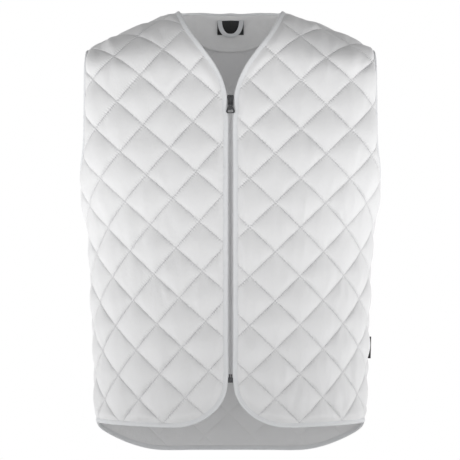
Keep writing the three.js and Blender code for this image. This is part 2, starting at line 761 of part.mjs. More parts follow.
// Slider: two plates joined by a wedge, with a channel for the chain that forks above the middle, a
// slot on each side for the tapes and a bridge in front
function sliderSolid() {
  const half = sliderWidth / 2;
  const plate = bothSides(sliderOutline.map(({ up, wide }) => [half * wide, sliderLength * up]));
  const body = extruded(outlineShape(plate), 2 * sliderHalf, raised(-sliderHalf));
  const bridgeShape = outlineShape([...bridgeLine(0), ...bridgeLine(bridgeThickness).reverse()]);
  const bridge = extruded(bridgeShape, bridgeWidth, sideView(bridgeWidth)).translate([0, 0, sliderHalf]);
  const channel = block(
    [-chainRoom, -cutMargin, -channelHalf],
    [chainRoom, branchStart, channelHalf],
  );
  let solid = body.add(bridge).subtract(channel);
  for (const side of [-1, 1]) {
    const branchOuter = side * (half - sliderWall);
    const branch = outlineShape([
      [0, branchStart - branchOverlap],
      [side * chainRoom, branchStart - branchOverlap],
      [branchOuter, sliderLength + cutMargin],
      [branchOuter - side * chainWidth / 2, sliderLength + cutMargin],
    ]);
    const [slotLeft, slotRight] = [side * chainWidth / 2, side * sliderWidth].sort((a, b) => a - b);
    const slot = block(
      [slotLeft, -cutMargin, -slotHeight / 2],
      [slotRight, sliderLength + cutMargin, slotHeight / 2],
    );
    solid = solid.subtract(extruded(branch, 2 * channelHalf, raised(-channelHalf))).subtract(slot);
  }
  return solid;
}

// Pull tab in its own frame, hanging from its hinge axis: an eye round the bridge's foot, a short
// step outward that clears the edge tapes, and a flat tab with an oval hole
function pullSolid() {
  const eye = pullEyeWidth / 2;
  const window = bridgeWidth / 2 + 3 * fitGap;
  const windowFoot = -pullLength * 0.33;
  const stepOut = tapeOuter + 2 * fitGap + pullThickness / 2 - zipLevel - pullAxisOut;
  const stepFoot = windowFoot - pullBarDiameter;
  const bar = pullBarDiameter / 2;
  const slope = new THREE.Matrix4().makeRotationX(-Math.atan2(stepOut, -stepFoot));
  const eyeOutline = bothSides([[eye, -Math.hypot(stepOut, stepFoot)], [eye, -bar], [eye - bar, bar]]);
  const eyePlate = slope.clone().multiply(raised(-pullThickness / 2));
  const upper = extruded(outlineShape(eyeOutline), pullThickness, eyePlate);
  const tabOutline = bothSides([
    [eye, stepFoot + pullThickness / 2],
    ...pullOutline.map(({ down, wide }) => [pullWidth / 2 * wide, -pullLength * down]),
  ]);
  const tab = extruded(outlineShape(tabOutline), pullThickness, raised(stepOut - pullThickness / 2));
  const oval = new THREE.Shape();
  const straight = (pullHoleWidth - pullHoleHeight) / 2;
  const holeUp = pullHoleRim + pullHoleHeight / 2 - pullLength;
  oval.absarc(straight, holeUp, pullHoleHeight / 2, -QUARTER_TURN, QUARTER_TURN, false);
  oval.absarc(-straight, holeUp, pullHoleHeight / 2, QUARTER_TURN, 3 * QUARTER_TURN, false);
  const opening = outlineShape(bothSides([[window, windowFoot], [window, -bar]]));
  const through = raised(-pullWidth / 2);
  return upper.add(tab)
    .subtract(extruded(opening, pullWidth, slope.clone().multiply(through)))
    .subtract(extruded(oval, pullWidth, through));
}

// Retainer box with its fixed pin, and a socket for the loose pin
function boxSolid() {
  const half = boxWidth / 2;
  const rail = chainWidth / 2;
  const boxHalf = channelHalf + boxPlate;
  const past = boxHeight + cutMargin;
  const slot = slotHeight / 2;
  return block([-half, 0, -boxHalf], [half, boxHeight, boxHalf])
    .subtract(block([fitGap / 2, boxFloor, -channelHalf], [chainRoom, past, channelHalf]))
    .subtract(block([rail, -cutMargin, -slot], [boxWidth, past, slot]))
    .subtract(block([-boxWidth, -cutMargin, -slot], [-rail, past, slot]))
    .add(block(
      [-rail, boxHeight - pinRoot, -chainThickness / 2],
      [-fitGap, boxHeight + pinLength, chainThickness / 2],
    ));
}

// Loose pin, which stands in the box's socket
function pinSolid() {
  return block(
    [fitGap * 1.5, boxFloor + fitGap, -chainThickness / 2],
    [chainWidth / 2, boxHeight + pinLength, chainThickness / 2],
  );
}

// Places a small part on the front's centre line, at the chain's level
function onZip(name, solid, along, material) {
  const { out, up, right } = wallFrame(FRONT, 0, along);
  const mesh = meshOf(name, geometryOf(bodyOf(solid)), material);
  mesh.quaternion.setFromRotationMatrix(new THREE.Matrix4().makeBasis(right, up, out));
  mesh.position.copy(wallPoint(FRONT, 0, along, zipLevel));
  return mesh;
}

function zipParts() {
  const group = new THREE.Group();
  const tapeTop = frontNeckDepth + zipTapeBelowNeck;
  const sliderFoot = sliderTop + sliderLength;
  const chainTop = sliderFoot - sliderLength * 0.4;
  const chainFoot = zipFoot - boxHeight - pinLength - fitGap;
  for (const [name, side] of [['left', 1], ['right', -1]]) {
    const tape = zipStrip(side, chainRoom, chainRoom + zipTapeWidth, tapeTop, zipFoot, zipTapeThickness);
    group.add(meshOf(`zip_tape_${name}`, tape, greyTape));
    const chain = zipStrip(side, fitGap / 2, chainWidth / 2, chainTop, chainFoot, chainThickness);
    group.add(meshOf(`zip_chain_${name}`, chain, chainPlastic));
  }
  const slider = onZip('zip_slider', sliderSolid(), -sliderFoot, darkMetal);
  const pull = onZip('zip_pull', pullSolid(), -sliderFoot, darkMetal);
  pull.position.add(new THREE.Vector3(0, pullAxisUp, pullAxisOut).applyQuaternion(pull.quaternion));
  group.add(slider, pull);
  group.add(onZip('zip_box', boxSolid(), -zipFoot, darkMetal));
  group.add(onZip('zip_pin', pinSolid(), -zipFoot, darkMetal));
  return group;
}

// Half-moon facing inside the back neck. Its upper edge follows the neck edge, and its level falls
// from behind the edge tape to behind the crowns. Its lower edge is a rounded half moon.
const facingRoundness = 0.8;
function backFacing() {
  const acrossSteps = 16;
  const alongSteps = 4;
  const upperLevel = -(tapeOuter + liningGap + facingThickness / 2);
  const behindTape = boundMargin - 1;
  const rows = [];
  for (let i = 0; i <= acrossSteps; i += 1) {
    const share = 2 * i / acrossSteps - 1;
    const neck = backNeckPlace(1 - Math.abs(share));
    const angle = QUARTER_TURN * (1 - Math.abs(share));
    const side = Math.sign(share);
    const seam = seamAt(BACK, facingHalfWidth);
    const centre = backNeckPlace(1).along;
    const foot = {
      across: facingHalfWidth * Math.cos(angle) ** facingRoundness,
      along: seam - (seam - centre + facingDepth) * Math.sin(angle) ** facingRoundness,
    };
    const down = [];
    const total = Math.abs(foot.along - neck.along);
    const first = Math.min(behindTape / total, 1 / alongSteps);
    for (let j = 0; j <= alongSteps; j += 1) {
      const t = j === 0 ? 0 : first + (1 - first) * (j - 1) / (alongSteps - 1);
      const across = side * (neck.across + (foot.across - neck.across) * t);
      const along = neck.along + (foot.along - neck.along) * t - fitGap - tapeThickness * (1 - t);
      const fall = THREE.MathUtils.smoothstep(total * t, 0, behindTape);
      const level = upperLevel + (facingLevel - upperLevel) * fall;
      down.push([across, along, level]);
    }
    rows.push(down);
  }
  return gridBody(rows, facingThickness);
}

// Thin body over a grid of places on the back wall, each with its level
function gridBody(rows, thickness) {
  const wide = rows.length;
  const tall = rows[0].length;
  const points = [1, -1].flatMap((face) => Array.from({ length: tall }, (_, j) => j).flatMap((j) =>
    rows.map((row) => wallPoint(BACK, row[j][0], row[j][1], row[j][2] + face * thickness / 2))));
  const triangles = rimTriangles(wide, tall);
  for (let j = 0; j < tall - 1; j += 1) {
    for (let i = 0; i < wide - 1; i += 1) {
      const a = j * wide + i;
      const b = a + wide * tall;
      triangles.push([a, a + 1, a + wide + 1], [a, a + wide + 1, a + wide]);
      triangles.push([b, b + wide + 1, b + 1], [b, b + wide, b + wide + 1]);
    }
  }
  return geometryOf(closedBody(points, triangles));
}

// Neck label, flat on the facing
function neckLabel() {
  const top = backNeckPlace(1).along - labelDrop;
  const rows = [-1, -0.5, 0, 0.5, 1].map((share) => [0, 0.5, 1].map((t) =>
    [share * labelWidth / 2, top - labelHeight * t, labelLevel]));
  return gridBody(rows, labelThickness);
}

// Hanger loop: a tape that hangs in a U over the label and stands off it at the bottom. The powers
// make the U squarer.
const loopSidePower = 0.75;
const loopFootPower = 0.85;
function hangerLoop() {
  const steps = 16;
  const top = backNeckPlace(1).along - tapeWidth;
  const middle = (t) => {
    const angle = Math.PI * t;
    const reach = loopHalfWidth - loopTapeWidth / 2;
    const drop = loopDrop - loopTapeWidth / 2 - tapeWidth;
    return new THREE.Vector3(
      -reach * Math.sign(Math.cos(angle)) * Math.abs(Math.cos(angle)) ** loopSidePower,
      top - drop * Math.sin(angle) ** loopFootPower,
      loopLevel - loopBulge * Math.sin(angle) ** 2,
    );
  };
  const nudge = 0.01;
  const rows = [...evenly(steps), 1].map((t) => {
    const here = middle(t);
    const before = middle(Math.max(t - nudge, 0));
    const after = middle(Math.min(t + nudge, 1));
    const way = after.sub(before).setZ(0).normalize();
    const side = new THREE.Vector2(-way.y, way.x).multiplyScalar(loopTapeWidth / 2);
    return [[-1, -1], [1, -1], [1, 1], [-1, 1]].map(([edge, face]) => wallPoint(
      BACK,
      here.x + edge * side.x,
      here.y + edge * side.y,
      here.z + face * loopTapeThickness / 2,
    ));
  });
  return geometryOf(loftBody(rows, square));
}

// Tag standing out of the left side seam
function sideTag() {
  const rows = [0, 0.5, 1].map((t) => {
    const along = -tagDrop - tagHeight * (t - 0.5);
    const across = sideAcross(FRONT, along);
    const { out, right } = wallFrame(FRONT, across, along);
    const root = wallMiddle(FRONT, across, along);
    return [[0, -1], [1, -1], [1, 1], [0, 1]].map(([far, face]) => root.clone()
      .addScaledVector(out, edgeHalf + fitGap + far * tagWidth)
      .addScaledVector(right, face * tagThickness / 2));
  });
  return geometryOf(loftBody(rows, square));
}

function vest() {
  const group = new THREE.Group();
  const leftStops = frontOutline();
  const rightStops = mirroredStops(leftStops);
  const backStops = backOutline();
  const backHalves = {
    left: backStops.map((stop) => (stop.across > 0 ? { ...stop, edge: offSide(stop.edge) } : stop)),
    right: backStops.map((stop) => (stop.across < 0 ? { ...stop, edge: offSide(stop.edge) } : stop)),
  };
  group.add(quiltedPanel('front_panel_left', FRONT, leftStops));
  group.add(quiltedPanel('front_panel_right', FRONT, rightStops));
  group.add(quiltedPanel('back_panel', BACK, backStops));
  group.add(tapeAlong('binding_front_left', FRONT, leftStops, 'opening'));
  group.add(tapeAlong('binding_front_right', FRONT, rightStops, 'opening'));
  group.add(tapeAlong('binding_neck_back', BACK, backStops, 'neck'));
  group.add(tapeAlong('binding_hem_back', BACK, backStops, 'tail'));
  group.add(armholeTape('binding_armhole_left', leftStops, backHalves.left));
  group.add(armholeTape('binding_armhole_right', rightStops, backHalves.right));
  group.add(zipParts());
  group.add(meshOf('back_facing', backFacing(), lining));
  group.add(meshOf('neck_label', neckLabel(), blackWeave));
  group.add(meshOf('hanger_loop', hangerLoop(), edgeTape));
  group.add(meshOf('side_tag', sideTag(), blackWeave));
  return group;
}

// Name of an armhole edge on the side of the back that is not being taped
function offSide(edge) {
  return edge === 'armhole' ? 'other armhole' : edge;
}

export default vest();
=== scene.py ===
"""Thermal work vest in its worn form: quilted cloth, folded edge tape, zip, lining and labels.

Lengths are metres. +Z is up, the front faces -Y and the wearer's left is +X. Cloth is laid out flat on
the wall of the body and then carried onto it. A place on the wall has three numbers: across, the
distance round the wall from its centre line; along, the height, which runs on over the shoulder as a
length; and out, the distance outward from the middle of the wall.
"""

import logging
import math
from dataclasses import dataclass, field
from enum import Enum, IntEnum

import bmesh
import bpy
import numpy as np
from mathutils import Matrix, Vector
from mathutils.geometry import delaunay_2d_cdt


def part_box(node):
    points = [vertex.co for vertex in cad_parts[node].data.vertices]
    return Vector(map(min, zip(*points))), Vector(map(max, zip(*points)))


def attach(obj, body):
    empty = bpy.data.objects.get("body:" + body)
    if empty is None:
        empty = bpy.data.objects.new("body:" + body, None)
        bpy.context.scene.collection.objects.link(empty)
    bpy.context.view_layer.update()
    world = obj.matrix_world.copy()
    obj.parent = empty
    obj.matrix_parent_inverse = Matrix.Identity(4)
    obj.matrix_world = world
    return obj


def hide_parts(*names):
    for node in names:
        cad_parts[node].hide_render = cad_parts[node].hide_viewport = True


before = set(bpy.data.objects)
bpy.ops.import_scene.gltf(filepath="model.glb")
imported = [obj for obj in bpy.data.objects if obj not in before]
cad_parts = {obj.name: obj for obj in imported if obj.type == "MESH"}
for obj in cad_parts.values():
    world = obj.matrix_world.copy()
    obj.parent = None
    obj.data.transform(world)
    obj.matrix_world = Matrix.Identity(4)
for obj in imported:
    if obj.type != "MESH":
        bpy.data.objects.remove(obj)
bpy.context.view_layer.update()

LOG = logging.getLogger("vest")
MM = 0.001
QUARTER_TURN = math.pi / 2
VEST_BODY = "vest"
PULL_BODY = "pull"


class Half(IntEnum):
    """Half of the wall, by the side of the shoulder line on which it lies."""

    FRONT = -1
    BACK = 1


class Edge(Enum):
    """Kind of a stretch of a panel's outline."""

    OPENING = "opening"
    SIDE = "side"
    ARMHOLE = "armhole"
    SHOULDER = "shoulder"
    NECK = "neck"
    TAIL = "tail"


SEAMS = (Edge.SIDE, Edge.SHOULDER)


def smoothstep(value: np.ndarray, low: float, high: float) -> np.ndarray:
    """Soft step from 0 at low to 1 at high."""
    t = np.clip((np.asarray(value, float) - low) / (high - low), 0, 1)
    return t * t * (3 - 2 * t)


def unit(vectors: np.ndarray) -> np.ndarray:
    """Vectors of length one in the same directions."""
    return vectors / np.maximum(np.linalg.norm(vectors, axis=-1, keepdims=True), 1e-12)


@dataclass(frozen=True)
class Curve:
    """Smooth curve through the rows of a table, level beyond its ends."""

    places: tuple[float, ...]
    values: tuple[float, ...]

    def at(self, place: np.ndarray) -> np.ndarray:
        """Reads the curve.

        Args:
            place: Places along the table.

        Returns:
            The values there.
        """
        places = np.array(self.places)
        values = np.array(self.values)
        last = len(places) - 1
        place = np.clip(place, places[0], places[-1])
        row = np.clip(np.searchsorted(places, place, side="right") - 1, 0, last - 1)
        before = np.maximum(np.arange(last + 1) - 1, 0)
        after = np.minimum(np.arange(last + 1) + 1, last)
        slope = (values[after] - values[before]) / (places[after] - places[before])
        span = places[row + 1] - places[row]
        t = (place - places[row]) / span
        eased = values[row] + (values[row + 1] - values[row]) * t * t * (3 - 2 * t)
        return eased + span * (slope[row] * t * (1 - t) ** 2 - slope[row + 1] * t * t * (1 - t))


def columns(rows: tuple[tuple[float, ...], ...]) -> list[Curve]:
    """Curves of a table: its first column gives the places, each other column the values."""
    places, *values = zip(*rows)
    return [Curve(places, column) for column in values]


# Rings of the worn body from the chest down: down, width, front, back, side, front power, back power
BODY_RINGS = (
    (0.177, 1.000, 0.465, 0.480, 0.000, 4.50, 4.0),
    (0.214, 1.000, 0.470, 0.487, 0.000, 4.50, 4.0),
    (0.320, 1.008, 0.480, 0.495, 0.020, 4.00, 3.6),
    (0.373, 1.020, 0.486, 0.493, 0.035, 3.40, 3.3),
    (0.406, 1.022, 0.488, 0.490, 0.050, 3.00, 3.0),
    (0.439, 1.012, 0.488, 0.486, 0.070, 2.75, 2.9),
    (0.498, 0.992, 0.486, 0.479, 0.110, 2.40, 2.8),
    (0.557, 0.971, 0.484, 0.474, 0.150, 2.22, 2.8),
    (0.648, 0.960, 0.480, 0.470, 0.185, 2.15, 2.8),
    (0.790, 0.941, 0.484, 0.480, 0.190, 2.15, 2.8),
    (0.968, 0.929, 0.489, 0.498, 0.190, 2.15, 2.7),
    (1.090, 0.922, 0.490, 0.506, 0.190, 2.15, 2.7),
)

# Ridge of the shoulders: out, and its height over the neck point in front and behind
SHOULDER_RIDGE = (
    (0.000, 0.300, 0.440),
    (0.174, 0.215, 0.334),
    (0.277, 0.100, 0.165),
    (0.348, 0.000, 0.000),
    (0.545, -0.264, -0.264),
    (0.620, -0.364, -0.364),
    (0.830, -0.693, -0.693),
    (0.950, -0.914, -0.914),
    (1.000, -1.020, -1.020),
)

# V-neck edge: down, and the share of the neck's half width that is still open there
NECK_EDGE = (
    (0.00, 1.000),
    (0.07, 0.940),
    (0.23, 0.800),
    (0.30, 0.722),
    (0.45, 0.512),
    (0.60, 0.305),
    (0.74, 0.150),
    (0.87, 0.055),
    (1.00, 0.000),
)


@dataclass(frozen=True)
class Pattern:
    """Sizes of the vest's body and of its cut edges."""

    half_width: float = 0.253
    body_depth: float = 0.240
    front_length: float = 0.711
    side_length: float = 0.716
    back_length: float = 0.775
    hem_corner_width: float = 0.096
    hem_corner_height: float = 0.079
    tail_corner_width: float = 0.155
    shoulder_drop: float = 0.070
    neck_half_width: float = 0.088
    front_neck_depth: float = 0.153
    back_neck_reach: float = 0.062
    front_bend_at_neck: float = 0.110
    back_bend_at_neck: float = 0.160
    bend_at_shoulder_tip: float = 0.055
    underarm_drop: float = 0.287
    shoulder_half_width: float = 0.2485
    armhole_curve_height: float = 0.075
    front_gap: float = 0.009
    slider_length: float = 0.017
    slot_half: float = 0.006
    edge_half: float = 0.0009
    line_half: float = 0.0011
    tape_clearance: float = 0.0006
    tape_thickness: float = 0.0008
    tape_width: float = 0.0078
    seam_gap: float = 0.0003
    fit_gap: float = 0.0003

    @property
    def tape_outer(self) -> float:
        """Distance from the middle of the wall to the outside of the edge tape."""
        return self.edge_half + self.tape_clearance + self.tape_thickness

    @property
    def corner_top(self) -> float:
        """Depth at which the front edge starts to round off into the hem."""
        return self.front_length - self.hem_corner_height


@dataclass
class Wall:
    """Middle surface of the worn vest, read from rings laid out at even steps."""

    pattern: Pattern
    lowest: float = -0.800
    height_step: float = 0.002
    across_step: float = 0.001
    across_steps: int = 430
    ring_steps: int = 577
    nudge: float = 0.0005

    def __post_init__(self) -> None:
        """Lays out the rings of both halves."""
        count = round(-self.lowest / self.height_step) + 1
        self.heights = np.linspace(self.lowest, 0, count)
        self.spans = np.arange(self.across_steps) * self.across_step
        self.ridges = dict(zip(Half, columns(SHOULDER_RIDGE)))
        laid = {half: self._lay_rings(half) for half in Half}
        self.rings = {half: laid[half][0] for half in Half}
        self.sides = {half: laid[half][1] for half in Half}

    def _lay_rings(self, half: Half) -> tuple[np.ndarray, np.ndarray]:
        """Rings of one half.

        Args:
            half: Front or back.

        Returns:
            x and y at even steps round each ring, and each ring's length from centre line to side.
        """
        p = self.pattern
        down = -self.heights / p.front_length
        width, front, back, side, front_power, back_power = (c.at(down) for c in columns(BODY_RINGS))
        side = p.body_depth * side
        is_front = half is Half.FRONT
        depth = p.body_depth * front + side if is_front else p.body_depth * back - side
        power = (front_power if is_front else back_power)[:, None]
        angle = np.linspace(0, QUARTER_TURN, self.ring_steps)[None, :]
        across_share = (np.sin(angle) / (p.half_width * width[:, None])) ** power
        depth_share = (np.cos(angle) / depth[:, None]) ** power
        reach = (across_share + depth_share) ** (-1 / power)
        x = reach * np.sin(angle)
        y = side[:, None] + half * reach * np.cos(angle)
        steps = np.hypot(np.diff(x, axis=1), np.diff(y, axis=1))
        length = np.concatenate([np.zeros((len(x), 1)), np.cumsum(steps, axis=1)], axis=1)
        ring = np.empty((len(x), self.across_steps, 2))
        for row in range(len(x)):
            past = np.maximum(self.spans - length[row, -1], 0)
            for axis, values in enumerate((x[row], y[row])):
                slope = (values[-1] - values[-2]) / (length[row, -1] - length[row, -2])
                ring[row, :, axis] = np.interp(self.spans, length[row], values) + past * slope
        return ring, length[:, -1]

    def on_ring(self, half: Half, across: np.ndarray, height: np.ndarray) -> tuple[np.ndarray, np.ndarray]:
        """x and y of places on the rings, with across measured from the centre line."""
        row = np.clip((height - self.lowest) / self.height_step, 0, len(self.heights) - 1.001)
        column = np.clip(across / self.across_step, 0, self.across_steps - 1.001)
        low_row = row.astype(int)
        low_column = column.astype(int)
        rise = (row - low_row)[..., None]
        run = (column - low_column)[..., None]
        ring = self.rings[half]
        low = ring[low_row, low_column] * (1 - run) + ring[low_row, low_column + 1] * run
        high = ring[low_row + 1, low_column] * (1 - run) + ring[low_row + 1, low_column + 1] * run
        mixed = low * (1 - rise) + high * rise
        return mixed[..., 0], mixed[..., 1]

    def bend(self, half: Half, x: np.ndarray, y: np.ndarray) -> tuple[np.ndarray, np.ndarray, np.ndarray]:
        """Height, length and start of the quarter ellipse by which the wall bends over the shoulder."""
        p = self.pattern
        to_tip = smoothstep(x, p.neck_half_width, p.half_width)
        at_neck = p.front_bend_at_neck if half is Half.FRONT else p.back_bend_at_neck
        height = at_neck + (p.bend_at_shoulder_tip - at_neck) * to_tip
        length = QUARTER_TURN * np.sqrt((y * y + height * height) / 2)
        start = p.shoulder_drop * self.ridges[half].at(x / p.half_width) - height
        return height, length, start

    def middle(self, half: Half, across: np.ndarray, along: np.ndarray) -> np.ndarray:
        """Points on the middle of the wall.

        Args:
            half: Front or back.
            across: Distances round the wall, positive to the right seen from outside.
            along: Heights, which run on over the shoulder.

        Returns:
            Points in three dimensions.
        """
        across = np.asarray(across, float)
        along = np.asarray(along, float)
        x, y = self.on_ring(half, np.abs(across), np.minimum(along, 0))
        height, length, start = self.bend(half, x, y)
        turn = QUARTER_TURN * np.maximum(along - start, 0) / length
        up = np.where(turn > 0, start + height * np.sin(turn), along)
        return np.stack([-half * np.sign(across) * x, y * np.cos(turn), up], axis=-1)

    def directions(self, half: Half, across: np.ndarray, along: np.ndarray) -> tuple[np.ndarray, np.ndarray]:
        """Outward and upward directions of the wall."""
        step = self.nudge
        right = self.middle(half, across + step, along) - self.middle(half, across - step, along)
        upward = self.middle(half, across, along + step) - self.middle(half, across, along - step)
        return unit(np.cross(right, upward)), unit(upward)

    def point(self, half: Half, across: np.ndarray, along: np.ndarray, out: np.ndarray) -> np.ndarray:
        """Points at a distance outward from the middle of the wall."""
        across = np.asarray(across, float)
        along = np.asarray(along, float)
        outward, _ = self.directions(half, across, along)
        return self.middle(half, across, along) + outward * np.asarray(out, float)[..., None]

    def side_across(self, half: Half, along: float) -> float:
        """Distance round the wall from the centre line to the side line."""
        return float(np.interp(min(along, 0), self.heights, self.sides[half]))

    def across_at(self, half: Half, x: float, height: float) -> float:
        """Distance round the wall of a point with a given x."""
        row = np.full(self.across_steps, height)
        ring_x, _ = self.on_ring(half, self.spans, row)
        return float(np.interp(x, ring_x, self.spans))

    def place_at(self, half: Half, x: float, height: float) -> tuple[float, float]:
        """Across and along of a point with a given x and height."""
        across = self.across_at(half, x, height)
        ring_x, ring_y = self.on_ring(half, np.array(across), np.array(height))
        bend_height, bend_length, start = self.bend(half, ring_x, ring_y)
        past = min(float((height - start) / bend_height), 1.0)
        along = float(start + bend_length * math.asin(past) / QUARTER_TURN) if past > 0 else height
        return across, along

    def seam_at(self, half: Half, across: float) -> float:
        """Along of the shoulder seam."""
        x, y = self.on_ring(half, np.array(across), np.array(0.0))
        _, length, start = self.bend(half, x, y)
        return float(start + length)

    def back_neck(self, share: float) -> tuple[float, float]:
        """Place of the back neck edge, from the neck point at 0 to the centre line at 1."""
        p = self.pattern
        x = p.neck_half_width * math.cos(QUARTER_TURN * share)
        y = p.back_neck_reach * math.sin(QUARTER_TURN * share)
        across = self.across_at(Half.BACK, x, 0.0)
        ring_x, ring_y = self.on_ring(Half.BACK, np.array(across), np.array(0.0))
        _, length, start = self.bend(Half.BACK, ring_x, ring_y)
        return across, float(start + length * math.acos(y / ring_y) / QUARTER_TURN)


def evenly(steps: int) -> list[float]:
    """Shares from 0 up to, but without, 1."""
    return [i / steps for i in range(steps)]


@dataclass
class Outline:
    """Finished outline of a panel as stops, counter-clockwise as seen from outside."""

    places: np.ndarray
    edges: list[Edge]
    fine_step: float = 0.0016
    nearly_straight: float = 0.02

    def mirrored(self) -> "Outline":
        """The same outline on the other side of the centre line."""
        places = (self.places * (-1, 1))[::-1]
        edges = [self.edges[i - 1] for i in range(len(self.edges))][::-1]
        return Outline(places, edges)

    def inset(self, bound: float, seam: float) -> np.ndarray:
        """Stops moved inward.

        Args:
            bound: Distance in from edges that carry tape.
            seam: Distance in from seams.

        Returns:
            The moved places.
        """
        way = unit(np.roll(self.places, -1, axis=0) - self.places)
        inward = np.stack([-way[:, 1], way[:, 0]], axis=1)
        depth = np.array([seam if edge in SEAMS else bound for edge in self.edges])
        before = np.roll(inward, 1, axis=0)
        depth_before = np.roll(depth, 1)
        cross = before[:, 0] * inward[:, 1] - before[:, 1] * inward[:, 0]
        straight = np.abs(cross) < self.nearly_straight
        safe = np.where(straight, 1, cross)
        mitre = np.stack([
            (depth_before * inward[:, 1] - depth * before[:, 1]) / safe,
            (depth * before[:, 0] - depth_before * inward[:, 0]) / safe,
        ], axis=1)
        return self.places + np.where(straight[:, None], inward * depth[:, None], mitre)

    def chains(self) -> list[tuple[Edge, np.ndarray]]:
        """Runs of stops of one edge, each with the stop at which the next run starts."""
        count = len(self.edges)
        starts = [i for i in range(count) if self.edges[i] is not self.edges[i - 1]]
        runs = []
        for start, after in zip(starts, starts[1:] + [starts[0] + count]):
            runs.append((self.edges[start], np.arange(start, after + 1) % count))
        return runs

    def fine(self, stops: np.ndarray, points: np.ndarray) -> np.ndarray:
        """Smooth line through one run of points.

        Args:
            stops: Indices of the run's stops.
            points: Places of all stops, inset or not.

        Returns:
            Places along the run, both ends included, at the same shares whatever the inset.
        """
        base = self.places[stops]
        run = points[stops]
        length = np.concatenate([[0], np.cumsum(np.linalg.norm(np.diff(base, axis=0), axis=1))])
        slope = np.gradient(run, length, axis=0)
        line = []
        for i in range(len(stops) - 1):
            span = length[i + 1] - length[i]
            count = max(1, math.ceil(span / self.fine_step))
            t = (np.arange(count) / count)[:, None]
            eased = run[i] + (run[i + 1] - run[i]) * t * t * (3 - 2 * t)
            line.append(eased + span * (slope[i] * t * (1 - t) ** 2 - slope[i + 1] * t * t * (1 - t)))
        return np.vstack([*line, run[-1:]])

    def line(self, edge: Edge, bound: float, seam: float) -> list[np.ndarray]:
        """Smooth lines along every run of one edge, inset."""
        points = self.inset(bound, seam)
        return [self.fine(stops, points) for kind, stops in self.chains() if kind is edge]

    def loop(self, bound: float, seam: float) -> np.ndarray:
        """Whole smooth outline, inset."""
        points = self.inset(bound, seam)
        return np.vstack([self.fine(stops, points)[:-1] for _, stops in self.chains()])


@dataclass
class Draft:
    """Draws the outlines of the panels on the wall."""

    wall: Wall

    def front(self) -> Outline:
        """Outline of the left front, from the neck point down the opening and back up."""
        p = self.wall.pattern
        half = Half.FRONT
        (open_share,) = columns(NECK_EDGE)
        stops: list[tuple[float, float]] = []
        for t in evenly(11):
            down = t**2
            x = p.slot_half + (p.neck_half_width - p.slot_half) * float(open_share.at(down))
            stops.append(self.wall.place_at(half, x, -p.front_neck_depth * down))
        slot_foot = p.front_neck_depth + p.slider_length
        edge_top = slot_foot + p.slider_length
        edge = p.front_gap / 2
        stops.append((p.slot_half, -p.front_neck_depth))
        stops.append((p.slot_half, -slot_foot))
        stops += [(edge, -edge_top - (p.corner_top - edge_top) * t) for t in evenly(7)]
        for t in evenly(7):
            turn = QUARTER_TURN * t
            across = edge + p.hem_corner_width * (1 - math.cos(turn))
            stops.append((across, -p.corner_top - p.hem_corner_height * math.sin(turn)))
        hem_start = edge + p.hem_corner_width
        hem_end = self.wall.side_across(half, -p.side_length)
        for t in evenly(9):
            along = -p.front_length - (p.side_length - p.front_length) * t**3
            stops.append((hem_start + (hem_end - hem_start) * t, along))
        edges = [Edge.OPENING] * len(stops)
        self._side_and_armhole(half, stops, edges)
        self._shoulder(half, stops, edges)
        return Outline(np.array(stops), edges)

    def back(self) -> Outline:
        """Outline of the back, its right half upward from the tail's middle, and the same mirrored."""
        p = self.wall.pattern
        half = Half.BACK
        hem_end = self.wall.side_across(half, -p.side_length)
        corner_start = hem_end - p.tail_corner_width
        stops = [(corner_start * t, -p.back_length) for t in evenly(3)]
        for step in evenly(12):
            t = 1 - (1 - step) ** 1.5
            along = -p.side_length - (p.back_length - p.side_length) * math.cos(QUARTER_TURN * t)
            stops.append((corner_start + p.tail_corner_width * t, along))
        edges = [Edge.TAIL] * len(stops)
        self._side_and_armhole(half, stops, edges)
        self._shoulder(half, stops, edges)
        neck = [self.wall.back_neck(t) for t in evenly(8)]
        stops += neck
        edges += [Edge.NECK] * len(neck)
        stops.append(self.wall.back_neck(1))
        edges.append(Edge.NECK)
        right = Outline(np.array(stops), edges)
        left = right.mirrored()
        places = np.vstack([right.places, left.places[1:-1]])
        return Outline(places, edges + left.edges[1:-1])

    def armhole_reach(self, half: Half) -> float:
        """Distance round the wall from the armhole's edge to the side line."""
        tip = self.wall.across_at(half, self.wall.pattern.shoulder_half_width, 0.0)
        return self.wall.side_across(half, 0) - tip

    def _side_and_armhole(self, half: Half, stops: list, edges: list) -> None:
        """Adds the side seam upward and the armhole up to the shoulder tip."""
        p = self.wall.pattern
        wall = self.wall
        reach = self.armhole_reach(half)
        for t in evenly(8):
            along = -p.side_length + (p.side_length - p.underarm_drop) * t
            stops.append((wall.side_across(half, along), along))
            edges.append(Edge.SIDE)
        for t in evenly(5):
            turn = QUARTER_TURN * t
            along = -p.underarm_drop + p.armhole_curve_height * (1 - math.cos(turn))
            stops.append((wall.side_across(half, along) - reach * math.sin(turn), along))
            edges.append(Edge.ARMHOLE)
        curve_top = p.armhole_curve_height - p.underarm_drop
        tip = wall.seam_at(half, wall.side_across(half, 0) - reach)
        bend_start = -p.shoulder_drop - p.bend_at_shoulder_tip
        straight = [curve_top + (bend_start - curve_top) * t for t in evenly(3)]
        bent = [bend_start + (tip - bend_start) * t for t in evenly(8)]
        for along in straight + bent:
            stops.append((wall.side_across(half, along) - reach, along))
            edges.append(Edge.ARMHOLE)

    def _shoulder(self, half: Half, stops: list, edges: list) -> None:
        """Adds the shoulder seam from the tip to the neck point."""
        wall = self.wall
        tip = wall.side_across(half, 0) - self.armhole_reach(half)
        neck, _ = wall.place_at(half, wall.pattern.neck_half_width, 0.0)
        for t in evenly(6):
            across = tip + (neck - tip) * t
            stops.append((across, wall.seam_at(half, across)))
            edges.append(Edge.SHOULDER)


